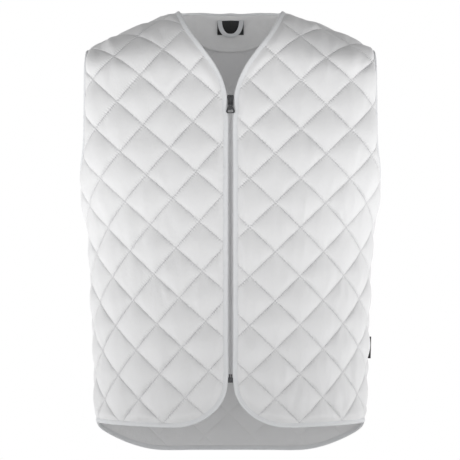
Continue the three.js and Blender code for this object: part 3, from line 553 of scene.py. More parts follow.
@dataclass(frozen=True)
class Fold:
    """Soft ridge in the cloth, where it drags from a seam."""

    across: float
    along: float
    length: float
    width: float
    height: float
    lean: float = 0.0

    def rise(self, places: np.ndarray) -> np.ndarray:
        """How far the fold lifts the cloth at places on the wall."""
        away = places - (self.across, self.along)
        turn = math.radians(self.lean)
        beside = away[:, 0] * math.cos(turn) - away[:, 1] * math.sin(turn)
        beyond = away[:, 0] * math.sin(turn) + away[:, 1] * math.cos(turn)
        return self.height * np.exp(-((beside / self.width) ** 2) - (beyond / self.length) ** 2)


def strewn_folds(outline: "Outline", seed: int, spacing: float = 0.021) -> tuple[Fold, ...]:
    """Small soft folds that fall down the cloth, strewn over a panel.

    Args:
        outline: The panel's outline.
        seed: Start of the random draws.
        spacing: Side of the square of cloth that has one fold.

    Returns:
        The folds, some raised and some sunk.
    """
    rng = np.random.default_rng(seed)
    low = outline.places.min(axis=0)
    high = outline.places.max(axis=0)
    count = int(np.prod(high - low) / spacing**2)
    across, along = (low + (high - low) * rng.random((count, 2))).T
    length = rng.uniform(0.012, 0.032, count)
    width = rng.uniform(0.0040, 0.0085, count)
    height = rng.normal(0.0, 0.00075, count)
    lean = rng.normal(0.0, 9.0, count)
    rows = zip(across, along, length, width, height, lean)
    return tuple(Fold(*(float(value) for value in row)) for row in rows)


@dataclass(frozen=True)
class Quilting:
    """Lattice of quilting lines: a crossing, the half diagonals of a diamond and the lattice's turn."""

    across: float
    along: float
    half_width: float
    half_height: float
    turn: float
    seed: int
    crown_out: float = 0.0074
    crown_in: float = 0.0022
    crispness: float = 0.52
    unevenness: float = 0.10

    @property
    def sides(self) -> np.ndarray:
        """The two sides of a diamond, as rows."""
        turn = math.radians(self.turn)
        spin = np.array([[math.cos(turn), math.sin(turn)], [-math.sin(turn), math.cos(turn)]])
        plain = np.array([[self.half_width, -self.half_height], [self.half_width, self.half_height]])
        return plain @ spin

    def to_lattice(self, places: np.ndarray) -> np.ndarray:
        """Lattice counts of places."""
        return (places - (self.across, self.along)) @ np.linalg.inv(self.sides)

    def to_places(self, counts: np.ndarray) -> np.ndarray:
        """Places of lattice counts."""
        return counts @ self.sides + (self.across, self.along)

    def pillow(self, places: np.ndarray) -> np.ndarray:
        """Shape of the puffed diamonds, 0 on the lines and about 1 on the crowns."""
        counts = self.to_lattice(places)
        cell = np.floor(counts).astype(int)
        a, b = (counts - cell).T
        level = np.clip(np.sin(np.pi * a) * np.sin(np.pi * b), 0, 1) ** self.crispness
        rng = np.random.default_rng(self.seed)
        uneven = 1 + self.unevenness * rng.standard_normal((64, 64))
        return level * uneven[cell[:, 0] % 64, cell[:, 1] % 64]


def nearest_distance(points: np.ndarray, line: np.ndarray, chunk: int = 2000) -> np.ndarray:
    """Distance of each point from the nearest of a line's points."""
    found = np.empty(len(points))
    for start in range(0, len(points), chunk):
        part = points[start:start + chunk]
        away = part[:, None, :] - line[None, :, :]
        found[start:start + chunk] = np.sqrt((away**2).sum(axis=2).min(axis=1))
    return found


def inside(points: np.ndarray, loop: np.ndarray, chunk: int = 2000) -> np.ndarray:
    """Whether each point lies within a closed loop."""
    after = np.roll(loop, -1, axis=0)
    rise = after[:, 1] - loop[:, 1]
    safe = np.where(rise == 0, 1, rise)
    found = np.empty(len(points), bool)
    for start in range(0, len(points), chunk):
        x, y = (column[:, None] for column in points[start:start + chunk].T)
        spans = (loop[:, 1] > y) != (after[:, 1] > y)
        crossing = loop[:, 0] + (y - loop[:, 1]) / safe * (after[:, 0] - loop[:, 0])
        found[start:start + chunk] = (spans & (x < crossing)).sum(axis=1) % 2 == 1
    return found


@dataclass
class MeshParts:
    """Points, faces and surface coordinates of a mesh while it is put together."""

    points: list[np.ndarray] = field(default_factory=list)
    faces: list[list[int]] = field(default_factory=list)
    cloth: list[np.ndarray] = field(default_factory=list)
    lattice: list[np.ndarray] = field(default_factory=list)
    count: int = 0

    def add(self, points: np.ndarray, faces: np.ndarray | list, cloth: np.ndarray | None = None,
            lattice: np.ndarray | None = None) -> None:
        """Adds a stretch of mesh.

        Args:
            points: Its points.
            faces: Its faces, as indices of those points.
            cloth: Lengths over the cloth at the points, for weaves.
            lattice: Lattice counts at the points, for quilting lines.
        """
        blank = np.zeros((len(points), 2))
        self.points.append(points)
        self.faces += [[int(i) + self.count for i in face] for face in faces]
        self.cloth.append(blank if cloth is None else cloth)
        self.lattice.append(blank if lattice is None else lattice)
        self.count += len(points)

    def object(self, name: str) -> bpy.types.Object:
        """Makes the object.

        Args:
            name: The piece's name.

        Returns:
            The object, linked to the scene, smooth and with its faces turned outward.
        """
        mesh = bpy.data.meshes.new(name)
        mesh.from_pydata(np.vstack(self.points).tolist(), [], self.faces)
        loops = np.empty(len(mesh.loops), np.int32)
        mesh.loops.foreach_get("vertex_index", loops)
        for layer, values in (("cloth", self.cloth), ("lattice", self.lattice)):
            coordinates = mesh.uv_layers.new(name=layer)
            coordinates.data.foreach_set("uv", np.vstack(values)[loops].astype(np.float32).ravel())
        mesh.polygons.foreach_set("use_smooth", [True] * len(mesh.polygons))
        work = bmesh.new()
        work.from_mesh(mesh)
        if work.calc_volume(signed=True) < 0:
            bmesh.ops.reverse_faces(work, faces=work.faces)
        work.to_mesh(mesh)
        work.free()
        mesh.update()
        piece = bpy.data.objects.new(name, mesh)
        bpy.context.scene.collection.objects.link(piece)
        return piece


def grid_faces(rows: int, count: int, ring: bool = False, wrap: bool = False) -> list[list[int]]:
    """Quads between rows of points.

    Args:
        rows: Number of rows.
        count: Points in a row.
        ring: Whether the last row joins the first.
        wrap: Whether each row closes on itself.

    Returns:
        Faces as indices, row by row.
    """
    faces = []
    for r in range(rows if ring else rows - 1):
        here = r * count
        after = (r + 1) % rows * count
        for c in range(count if wrap else count - 1):
            other = (c + 1) % count
            faces.append([here + c, here + other, after + other, after + c])
    return faces


def tube_parts(rows: np.ndarray, ring: bool, cloth: np.ndarray | None = None) -> MeshParts:
    """Body through closed sections.

    Args:
        rows: Sections, shaped rows by points by 3.
        ring: Whether the body closes on itself.
        cloth: Lengths over the cloth, shaped as rows by points by 2.

    Returns:
        The body's mesh.
    """
    count, wide = rows.shape[:2]
    faces = grid_faces(count, wide, ring, wrap=True)
    if not ring:
        faces += [list(range(wide))[::-1], [(count - 1) * wide + i for i in range(wide)]]
    parts = MeshParts()
    parts.add(rows.reshape(-1, 3), faces, None if cloth is None else cloth.reshape(-1, 2))
    return parts


def slab_parts(outer: np.ndarray, inner: np.ndarray, cloth: np.ndarray) -> MeshParts:
    """Thin body between two grids of points.

    Args:
        outer: Points of one face, shaped rows by columns by 3.
        inner: Points of the other face.
        cloth: Lengths over the cloth, shaped rows by columns by 2.

    Returns:
        The body's mesh.
    """
    tall, wide = outer.shape[:2]
    faces = grid_faces(tall, wide)
    below = tall * wide
    faces += [[below + i for i in face[::-1]] for face in grid_faces(tall, wide)]
    rim = [*range(wide), *(r * wide + wide - 1 for r in range(1, tall))]
    rim += [(tall - 1) * wide + c for c in range(wide - 2, -1, -1)]
    rim += [r * wide for r in range(tall - 2, 0, -1)]
    for one, two in zip(rim, rim[1:] + rim[:1]):
        faces.append([two, one, below + one, below + two])
    parts = MeshParts()
    flat = cloth.reshape(-1, 2)
    parts.add(np.vstack([outer.reshape(-1, 3), inner.reshape(-1, 3)]), faces, np.vstack([flat, flat]))
    return parts


@dataclass(frozen=True)
class Signal:
    """Number that varies over a surface. Expressions on it add the nodes that work them out."""

    shader: "Shader"
    socket: bpy.types.NodeSocket

    def __add__(self, other: "Signal | float") -> "Signal":
        """Sum."""
        return self.shader.maths("ADD", self, other)

    def __sub__(self, other: "Signal | float") -> "Signal":
        """Difference."""
        return self.shader.maths("SUBTRACT", self, other)

    def __rsub__(self, other: float) -> "Signal":
        """Difference from a number."""
        return self.shader.maths("SUBTRACT", other, self)

    def __mul__(self, other: "Signal | float") -> "Signal":
        """Product."""
        return self.shader.maths("MULTIPLY", self, other)

    def __truediv__(self, other: "Signal | float") -> "Signal":
        """Quotient."""
        return self.shader.maths("DIVIDE", self, other)

    def __abs__(self) -> "Signal":
        """Size without its sign."""
        return self.shader.maths("ABSOLUTE", self)

    __radd__ = __add__
    __rmul__ = __mul__

    def sine(self) -> "Signal":
        """Sine of the number, in radians."""
        return self.shader.maths("SINE", self)

    def fraction(self) -> "Signal":
        """What is left over a whole number."""
        return self.shader.maths("FRACT", self)

    def step(self, low: float, high: float) -> "Signal":
        """Soft step from 0 at low to 1 at high, or the other way round."""
        settings = {"interpolation_type": "SMOOTHSTEP"}
        rising = low < high
        limits = (low, high, 0.0, 1.0) if rising else (high, low, 1.0, 0.0)
        names = ("From Min", "From Max", "To Min", "To Max")
        node = self.shader.node("ShaderNodeMapRange", settings, {"Value": self, **dict(zip(names, limits))})
        return Signal(self.shader, node.outputs["Result"])


class Shader:
    """Node tree of one finish."""

    def __init__(self, name: str, color: tuple[float, float, float], roughness: float, **constants: float) -> None:
        """Starts a material.

        Args:
            name: The material's name.
            color: Base colour.
            roughness: Base roughness.
            constants: Values of the surface's other sockets, the same all over it.
        """
        self.material = bpy.data.materials.new(name)
        self.material.use_nodes = True
        self.tree = self.material.node_tree
        self.surface = self.tree.nodes["Principled BSDF"]
        self.feed("Base Color", (*color, 1.0))
        self.feed("Roughness", roughness)
        for socket, value in constants.items():
            self.feed(socket.replace("_", " "), value)
        self.material.diffuse_color = (*color, 1.0)

    def feed(self, name: str, value: object) -> None:
        """Sets or links one socket of the surface."""
        self._fill(self.surface.inputs[name], value)

    def _fill(self, socket: bpy.types.NodeSocket, value: object) -> None:
        """Sets a socket to a value, or links what drives it."""
        if isinstance(value, Signal):
            value = value.socket
        if isinstance(value, bpy.types.NodeSocket):
            self.tree.links.new(value, socket)
        else:
            socket.default_value = value

    def node(self, kind: str, settings: dict | None = None, inputs: dict | None = None) -> bpy.types.Node:
        """Adds a node.

        Args:
            kind: The node's type.
            settings: Its properties, which are set first.
            inputs: Values or links of its sockets, by name or number.

        Returns:
            The node.
        """
        node = self.tree.nodes.new(kind)
        for name, value in (settings or {}).items():
            setattr(node, name, value)
        for key, value in (inputs or {}).items():
            self._fill(node.inputs[key], value)
        return node

    def maths(self, operation: str, *values: "Signal | float") -> Signal:
        """Adds a Math node on one or two numbers."""
        node = self.node("ShaderNodeMath", {"operation": operation}, dict(enumerate(values)))
        return Signal(self, node.outputs[0])

    def layer(self, name: str) -> tuple[Signal, Signal]:
        """The two coordinates of a surface layer."""
        source = self.node("ShaderNodeUVMap", {"uv_map": name})
        split = self.node("ShaderNodeSeparateXYZ", inputs={0: source.outputs[0]})
        return Signal(self, split.outputs[0]), Signal(self, split.outputs[1])

    def noise(self, x: Signal, y: Signal, scale: float, detail: float = 2.0) -> Signal:
        """Smooth noise over two coordinates, between 0 and 1."""
        vector = self.node("ShaderNodeCombineXYZ", inputs={0: x, 1: y})
        inputs = {"Vector": vector.outputs[0], "Scale": scale, "Detail": detail}
        node = self.node("ShaderNodeTexNoise", {"noise_dimensions": "2D"}, inputs)
        return Signal(self, node.outputs["Fac"])

    def solid_noise(self, scale: float, detail: float = 2.0) -> Signal:
        """Smooth noise through space, between 0 and 1."""
        source = self.node("ShaderNodeTexCoord")
        inputs = {"Vector": source.outputs["Object"], "Scale": scale, "Detail": detail}
        return Signal(self, self.node("ShaderNodeTexNoise", inputs=inputs).outputs["Fac"])

    def blend(self, share: Signal, one: tuple, two: tuple) -> bpy.types.NodeSocket:
        """Colour between two colours."""
        inputs = {"Factor": share, "A": (*one, 1.0), "B": (*two, 1.0)}
        node = self.tree.nodes.new("ShaderNodeMix")
        node.data_type = "RGBA"
        by_name = {socket.name: socket for socket in node.inputs if socket.type == "RGBA"}
        self._fill(node.inputs["Factor"], inputs["Factor"])
        self._fill(by_name["A"], inputs["A"])
        self._fill(by_name["B"], inputs["B"])
        return next(socket for socket in node.outputs if socket.type == "RGBA")

    def relief(self, height: Signal, depth: float) -> None:
        """Raises the surface by a height between 0 and 1, times a depth in metres."""
        node = self.node("ShaderNodeBump", inputs={"Height": height * depth, "Distance": 1.0})
        self.feed("Normal", node.outputs[0])


@dataclass(frozen=True)
class QuiltedCloth:
    """White satin-faced cloth, puckered along the quilting lines, with painted shade darkening the colour along
    them.
    """

    color: tuple[float, float, float] = (0.785, 0.785, 0.79)
    # shade: colour of the painted shade along the quilting lines, also the far end of the cloth's random mottle
    shade: tuple[float, float, float] = (0.60, 0.60, 0.61)
    roughness: float = 0.38
    yarn: float = 0.00045
    weave_depth: float = 0.000022
    crumple_depth: float = 0.0007
    pucker_pitch: float = 0.0042
    pucker_depth: float = 0.00030
    side: float = 0.0595

    def material(self) -> bpy.types.Material:
        """Builds the finish."""
        shader = Shader("quilted_cloth", self.color, self.roughness, Sheen_Weight=0.05, Specular_IOR_Level=0.75)
        across, along = shader.layer("cloth")
        one, two = shader.layer("lattice")
        turn = 2 * math.pi / self.yarn
        weave = (across * turn).sine() * (along * turn).sine() * 0.5 + 0.5
        streaks = shader.noise(across * 2.4, along * 0.8, 48.0, 3.0)
        crumple = streaks * 0.7 + shader.noise(across, along, 150.0, 2.0) * 0.3
        pucker = self._pucker(shader, one, two) + self._pucker(shader, two, one)
        height = weave * self.weave_depth + crumple * self.crumple_depth + pucker * self.pucker_depth
        shader.relief(height, 1.0)
        # Painted shade: the colour darkens along every quilting line, as if its valley lay in shade; the mottle is
        # the cloth's random tone.
        painted_line_shade = self._painted_line_shade(one) + self._painted_line_shade(two)
        mottle = shader.noise(across, along, 18.0, 3.0) * 0.25
        shader.feed("Base Color", shader.blend((painted_line_shade * 0.55 + mottle).step(0.0, 1.0), self.color, self.shade))
        shader.feed("Roughness", self.roughness + (shader.noise(across, along, 30.0) - 0.5) * 0.12)
        return shader.material

    def _painted_line_shade(self, count: Signal) -> Signal:
        """Mask of the painted shade of a quilting line: 1 on the line, falling to 0 about a millimetre away."""
        return abs((count + 0.5).fraction() - 0.5).step(0.013, 0.002)

    def _pucker(self, shader: Shader, count: Signal, other: Signal) -> Signal:
        """Ripples that run out from the quilting lines of one family."""
        away = abs((count + 0.5).fraction() - 0.5)
        jitter = shader.noise(count, other, 3.0) * 9.0
        ripple = (other * (2 * math.pi * self.side / self.pucker_pitch) + jitter).sine()
        return ripple * away.step(0.13, 0.0)


@dataclass(frozen=True)
class WovenTape:
    """Plain or ribbed narrow weave."""

    name: str
    color: tuple[float, float, float]
    shade: tuple[float, float, float]
    roughness: float
    rib: float
    rib_depth: float
    slant: float = 0.0
    sheen: float = 0.1

    def material(self) -> bpy.types.Material:
        """Builds the finish."""
        shader = Shader(self.name, self.color, self.roughness, Sheen_Weight=self.sheen)
        across, along = shader.layer("cloth")
        turn = 2 * math.pi / self.rib
        rib = ((along + across * self.slant) * turn).sine() * 0.5 + 0.5
        cross = (across * (turn * 1.6)).sine() * 0.5 + 0.5
        wear = shader.noise(across, along, 90.0, 3.0)
        shader.relief(rib * 0.7 + cross * 0.3 + wear * 1.5, self.rib_depth)
        shader.feed("Base Color", shader.blend((1 - rib) * 0.4 + wear * 0.4, self.color, self.shade))
        shader.feed("Roughness", self.roughness + (wear - 0.5) * 0.15)
        return shader.material


@dataclass(frozen=True)
class MouldedFinish:
    """Moulded or enamelled hard surface, rubbed a little; on the dark metal the lighter rubbed patches also serve
    as a painted highlight.
    """

    name: str
    color: tuple[float, float, float]
    worn: tuple[float, float, float]
    roughness: float
    metallic: float
    wear: float

    def material(self) -> bpy.types.Material:
        """Builds the finish."""
        shader = Shader(self.name, self.color, self.roughness, Metallic=self.metallic)
        patch = shader.solid_noise(700.0, 3.0)
        # Random rubbed patches; on the dark metal their lighter colour is partly wear and partly a painted
        # highlight.
        rubbed = patch.step(1 - self.wear, 1.0)
        shader.feed("Base Color", shader.blend(rubbed, self.color, self.worn))
        shader.feed("Roughness", self.roughness + (patch - 0.5) * 0.25)
        shader.relief(shader.solid_noise(2500.0), 0.00002)
        return shader.material


@dataclass
class Finishes:
    """All finishes of the vest, by the record's material slots."""

    def __post_init__(self) -> None:
        """Builds every finish once."""
        tapes = (
            WovenTape("edge_tape", (0.80, 0.81, 0.82), (0.70, 0.71, 0.73), 0.62, 0.0009, 0.00005),
            WovenTape("facing_cloth", (0.87, 0.87, 0.87), (0.80, 0.80, 0.80), 0.66, 0.0006, 0.00003),
            WovenTape("loop_tape", (0.74, 0.75, 0.765), (0.60, 0.61, 0.63), 0.60, 0.0011, 0.00009),
            WovenTape("zip_tape", (0.84, 0.84, 0.85), (0.70, 0.70, 0.71), 0.72, 0.0008, 0.00008, slant=1.0),
            WovenTape("black_weave", (0.012, 0.012, 0.013), (0.03, 0.03, 0.032), 0.55, 0.0005, 0.00004, 1.0),
        )
        moulded = (
            MouldedFinish("zip_chain", (0.80, 0.80, 0.81), (0.88, 0.88, 0.89), 0.38, 0.0, 0.4),
            # The dark metal's lighter worn colour is partly wear and partly a painted highlight that brightens the
            # metal.
            MouldedFinish("dark_metal", (0.085, 0.085, 0.09), (0.42, 0.42, 0.43), 0.30, 0.85, 0.42),
            MouldedFinish("thread", (0.80, 0.81, 0.83), (0.7, 0.7, 0.72), 0.5, 0.0, 0.3),
        )
        self.slots = {finish.name: finish.material() for finish in (*tapes, *moulded)}
        self.slots["quilted_cloth"] = QuiltedCloth().material()

    def dress(self, piece: bpy.types.Object, slot: str, finish: str | None = None, body: str = VEST_BODY) -> None:
        """Gives a piece its finish and its body.

        Args:
            piece: The piece.
            slot: The record's material slot.
            finish: The finish, where it isn't the slot's own.
            body: The body that the piece moves with.
        """
        piece.data.materials.clear()
        piece.data.materials.append(self.slots[finish or slot])
        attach(piece, body)
        LOG.info("%s: %d faces", piece.name, len(piece.data.polygons))


@dataclass
class Workshop:
    """What every sub-assembly works with."""

    wall: Wall
    finishes: Finishes
    left: Outline
    right: Outline
    back: Outline

    @property
    def pattern(self) -> Pattern:
        """Sizes of the vest."""
        return self.wall.pattern


@dataclass
class Thread:
    """Sewing thread: short raised stitches along lines on the wall."""

    workshop: Workshop
    pitch: float = 0.0032
    stitch: float = 0.0023
    width: float = 0.00050
    height: float = 0.00035

    def stitches(self, parts: MeshParts, half: Half, line: np.ndarray, level: np.ndarray) -> None:
        """Adds stitches along one line.

        Args:
            parts: The mesh that takes them.
            half: Front or back.
            line: Places of the line, close together.
            level: How far out the cloth lies at those places.
        """
        length = np.concatenate([[0], np.cumsum(np.linalg.norm(np.diff(line, axis=0), axis=1))])
        if length[-1] < 2 * self.pitch:
            return
        starts = np.arange(self.pitch / 2, length[-1] - self.stitch, self.pitch)
        ends = []
        for at in (starts, starts + self.stitch):
            across = np.interp(at, length, line[:, 0])
            along = np.interp(at, length, line[:, 1])
            out = np.interp(at, length, level)
            ends.append(self.workshop.wall.point(half, across, along, out))
        middle = starts + self.stitch / 2
        places = [np.interp(middle, length, line[:, axis]) for axis in (0, 1)]
        outward, _ = self.workshop.wall.directions(half, *places)
        self.add_capsules(parts, ends[0], ends[1], outward)

    def add_capsules(self, parts: MeshParts, start: np.ndarray, end: np.ndarray, outward: np.ndarray) -> None:
        """Adds one small closed capsule from each start to each end."""
        beside = unit(np.cross(outward, end - start)) * self.width / 2
        lift = outward * self.height
        rings = []
        for share in (0.22, 0.78):
            centre = start + (end - start) * share
            rings += [centre + beside, centre + lift, centre - beside, centre - lift]
        points = np.stack([start, *rings, end], axis=1)
        shape = [[0, 2, 1], [0, 3, 2], [0, 4, 3], [0, 1, 4]]
        shape += [[1 + i, 1 + (i + 1) % 4, 5 + (i + 1) % 4, 5 + i] for i in range(4)]
        shape += [[9, 5 + i, 5 + (i + 1) % 4] for i in range(4)]
        faces = [[10 * k + i for i in face] for k in range(len(points)) for face in shape]
        parts.add(points.reshape(-1, 3), faces)


@dataclass
class QuiltedPanel:
    """Padded panel: puffed diamonds between stitched lines, pressed flat under its edge tape."""

    workshop: Workshop
    node: str
    half: Half
    outline: Outline
    quilting: Quilting
    folds: tuple[Fold, ...] = ()
    steps: int = 20
    gather: float = 0.72
    least_gap: float = 0.0009
    flat_margin: float = 0.0072
    full_margin: float = 0.0200
    seam_margin: float = 0.0050
    side_press: float = 0.30
    side_reach: float = 0.035
    shoulder_press: float = 0.40
    press_start: float = -0.100
    press_full: float = -0.030
    stitch_margin: float = 0.0085

    def __post_init__(self) -> None:
        """Strews the small folds."""
        self.strewn = strewn_folds(self.outline, self.quilting.seed + 100)

    def build(self) -> None:
        """Builds the panel and its quilting thread."""
        loop = self.outline.loop(self.workshop.pattern.tape_thickness + self.workshop.pattern.tape_clearance,
                                 self.workshop.pattern.seam_gap / 2)
        places = self._places(loop)
        count = len(loop)
        ring = list(range(count))
        rim = [(i, (i + 1) % count) for i in ring]
        listed = [tuple(place) for place in np.vstack([loop, places])]
        made = delaunay_2d_cdt(listed, rim, [ring], 1, 1e-7)
        flat = np.array([tuple(place) for place in made[0]])
        triangles = [list(face) for face in made[2]]
        at = {source: i for i, sources in enumerate(made[3]) for source in sources}
        rim_points = [at[i] for i in ring]
        outer, inner = self._levels(flat)
        wall = self.workshop.wall
        outside = wall.point(self.half, flat[:, 0], flat[:, 1], outer)
        inside_face = wall.point(self.half, flat[:, 0], flat[:, 1], inner)
        below = len(flat)
        faces = triangles + [[below + i for i in face[::-1]] for face in triangles]
        for one, two in zip(rim_points, rim_points[1:] + rim_points[:1]):
            faces.append([two, one, below + one, below + two])
        parts = MeshParts()
        counts = self.quilting.to_lattice(flat)
        lining = np.full_like(counts, 0.5)
        parts.add(np.vstack([outside, inside_face]), faces, np.vstack([flat, flat]), np.vstack([counts, lining]))
        panel = parts.object(f"quilted_{self.node}")
        self.workshop.finishes.dress(panel, "quilted_cloth")
        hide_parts(self.node)
        self._sew(loop)

    def _places(self, loop: np.ndarray) -> np.ndarray:
        """Places within a loop, on a lattice that crowds towards the quilting lines."""
        corners = self.quilting.to_lattice(np.array([
            [x, y] for x in (loop[:, 0].min(), loop[:, 0].max()) for y in (loop[:, 1].min(), loop[:, 1].max())
        ]))
        t = np.arange(self.steps) / self.steps
        t = t - self.gather * np.sin(2 * np.pi * t) / (2 * np.pi)
        lines = [
            (np.arange(math.floor(low), math.ceil(high) + 1)[:, None] + t[None, :]).ravel()
            for low, high in zip(corners.min(axis=0), corners.max(axis=0))
        ]
        counts = np.stack(np.meshgrid(*lines, indexing="ij"), axis=-1).reshape(-1, 2)
        places = self.quilting.to_places(counts)
        places = places[inside(places, loop)]
        return places[nearest_distance(places, loop) > self.least_gap]

    def _levels(self, flat: np.ndarray) -> tuple[np.ndarray, np.ndarray]:
        """How far out the outer and the inner face lie at places of the panel."""
        p = self.workshop.pattern
        bound = [line for edge in Edge if edge not in SEAMS for line in self.outline.line(edge, 0, 0)]
        sewn = [line for edge in SEAMS for line in self.outline.line(edge, 0, 0)]
        from_edge = nearest_distance(flat, np.vstack(bound))
        from_seam = nearest_distance(flat, np.vstack(sewn))
        open_share = smoothstep(from_edge, self.flat_margin, self.full_margin) ** 0.6
        pressed = self.shoulder_press * smoothstep(flat[:, 1], self.press_start, self.press_full)
        drawn_in = self.side_press * np.exp(-((from_seam / self.side_reach) ** 2))
        puff = self.quilting.pillow(flat) * open_share * (1 - pressed) * (1 - drawn_in)
        base = p.edge_half + (p.line_half - p.edge_half) * open_share
        dip = np.sqrt(np.clip(from_seam / self.seam_margin, 0.02, 1))
        folds = self.folds + self.strewn
        fold = sum((fold.rise(flat) for fold in folds), np.zeros(len(flat)))
        fold *= smoothstep(from_edge, self.flat_margin, 2 * self.full_margin)
        fold *= np.clip(self.quilting.pillow(flat) * 1.6, 0.15, 1)
        outer = (base + puff * self.quilting.crown_out) * dip + fold
        inner = -(base + puff * self.quilting.crown_in) * dip
        return outer, inner

    def level(self, places: np.ndarray) -> np.ndarray:
        """How far out the outer face lies."""
        return self._levels(places)[0]

    def _sew(self, loop: np.ndarray) -> None:
        """Adds the quilting thread along every line of the lattice."""
        thread = Thread(self.workshop)
        parts = MeshParts()
        inner_loop = self.outline.loop(self.stitch_margin, self.workshop.pattern.seam_gap)
        corners = self.quilting.to_lattice(np.array([
            [x, y] for x in (loop[:, 0].min(), loop[:, 0].max()) for y in (loop[:, 1].min(), loop[:, 1].max())
        ]))
        low = np.floor(corners.min(axis=0)).astype(int)
        high = np.ceil(corners.max(axis=0)).astype(int)
        for family in (0, 1):
            reach = np.arange(low[1 - family], high[1 - family], 0.01)
            for number in range(low[family], high[family] + 1):
                counts = np.empty((len(reach), 2))
                counts[:, family] = number
                counts[:, 1 - family] = reach
                line = self.quilting.to_places(counts)
                kept = np.flatnonzero(inside(line, inner_loop))
                if not len(kept):
                    continue
                for run in np.split(kept, np.flatnonzero(np.diff(kept) > 1) + 1):
                    if len(run) > 5:
                        thread.stitches(parts, self.half, line[run], self.level(line[run]))
        stitches = parts.object(f"quilting_thread_{self.node}")
        self.workshop.finishes.dress(stitches, "quilted_cloth", "thread")


@dataclass
class EdgeTape:
    """Folded tape sewn round an edge, rolled over it and drawn in a little by its seam."""

    workshop: Workshop
    node: str
    runs: tuple[tuple[Half, Outline, Edge, int], ...]
    ring: bool = False
    seam_line: float = 0.0064
    ripple: float = 0.00013
    seed: int = 5

    # Section of one side: how far in from the finished edge, and how far out, as shares of the tape's
    # width and of its half thickness
    section: tuple[tuple[float, float], ...] = (
        (1.000, 0.50),
        (0.985, 0.70),
        (0.900, 0.80),
        (0.820, 0.74),
        (0.740, 0.86),
        (0.560, 1.02),
        (0.380, 1.08),
        (0.200, 1.02),
        (0.080, 0.80),
        (0.020, 0.45),
        (0.000, 0.00),
    )

    def build(self) -> None:
        """Builds the tape and its stitches."""
        p = self.workshop.pattern
        outer = [(inward * p.tape_width, out * p.tape_outer) for inward, out in self.section]
        lining = [(p.tape_width, 0.42 * p.tape_outer), (0.12 * p.tape_width, 0.38 * p.tape_outer)]
        section = outer + [(inward, -out) for inward, out in outer[-2::-1]]
        section += [(inward, -out) for inward, out in lining] + lining[::-1]
        rows, lengths = self._rows(section)
        around = np.concatenate([[0], np.cumsum([math.dist(a, b) for a, b in zip(section, section[1:])])])
        cloth = np.stack(np.broadcast_arrays(around[None, :], lengths[:, None]), axis=-1)
        tape = tube_parts(rows, self.ring, cloth).object(f"edge_tape_{self.node}")
        self.workshop.finishes.dress(tape, "edge_tape")
        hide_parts(self.node)
        self._sew()

    def _line(self, run: tuple[Half, Outline, Edge, int], inward: float) -> np.ndarray:
        """Line of one run at a distance in from its edge."""
        half, outline, edge, number = run
        seam = 0.0 if self.ring else self.workshop.pattern.seam_gap / 2
        return outline.line(edge, inward, seam)[number]

    def _rows(self, section: list[tuple[float, float]]) -> tuple[np.ndarray, np.ndarray]:
        """Sections along the whole tape, and the length at each."""
        blocks = []
        for run in self.runs:
            half = run[0]
            base = self._line(run, 0.0)
            lift = 1 + self._waver(len(base)) / self.workshop.pattern.tape_outer
            block = []
            for inward, out in section:
                line = self._line(run, inward)
                block.append(self.workshop.wall.point(half, line[:, 0], line[:, 1], out * lift))
            blocks.append(np.stack(block, axis=1))
        rows = blocks[0]
        for block in blocks[1:]:
            start = rows[-1] if self.ring else rows[0]
            if np.linalg.norm(block[0] - rows[-1]) > np.linalg.norm(block[-1] - rows[-1]):
                block = block[::-1]
            rows = np.concatenate([rows, block[1:-1] if self.ring else block])
        steps = np.linalg.norm(np.diff(rows[:, 0], axis=0), axis=1)
        return rows, np.concatenate([[0], np.cumsum(steps)])

    def _waver(self, count: int) -> np.ndarray:
        """Small swells along the tape, where the seam gathers it."""
        rng = np.random.default_rng(self.seed)
        at = np.arange(count)
        swell = np.zeros(count)
        for period in (5, 8, 13, 29):
            swell += np.sin(2 * np.pi * (at / period + rng.random()))
        return swell * self.ripple / 2

    def _sew(self) -> None:
        """Adds the stitches that hold the tape, on its outer face."""
        thread = Thread(self.workshop, pitch=0.0030, stitch=0.0021)
        parts = MeshParts()
        level = 0.76 * self.workshop.pattern.tape_outer
        for run in self.runs:
            line = self._line(run, self.seam_line)
            thread.stitches(parts, run[0], line, np.full(len(line), level))
        stitches = parts.object(f"tape_thread_{self.node}")
        self.workshop.finishes.dress(stitches, "edge_tape", "thread")


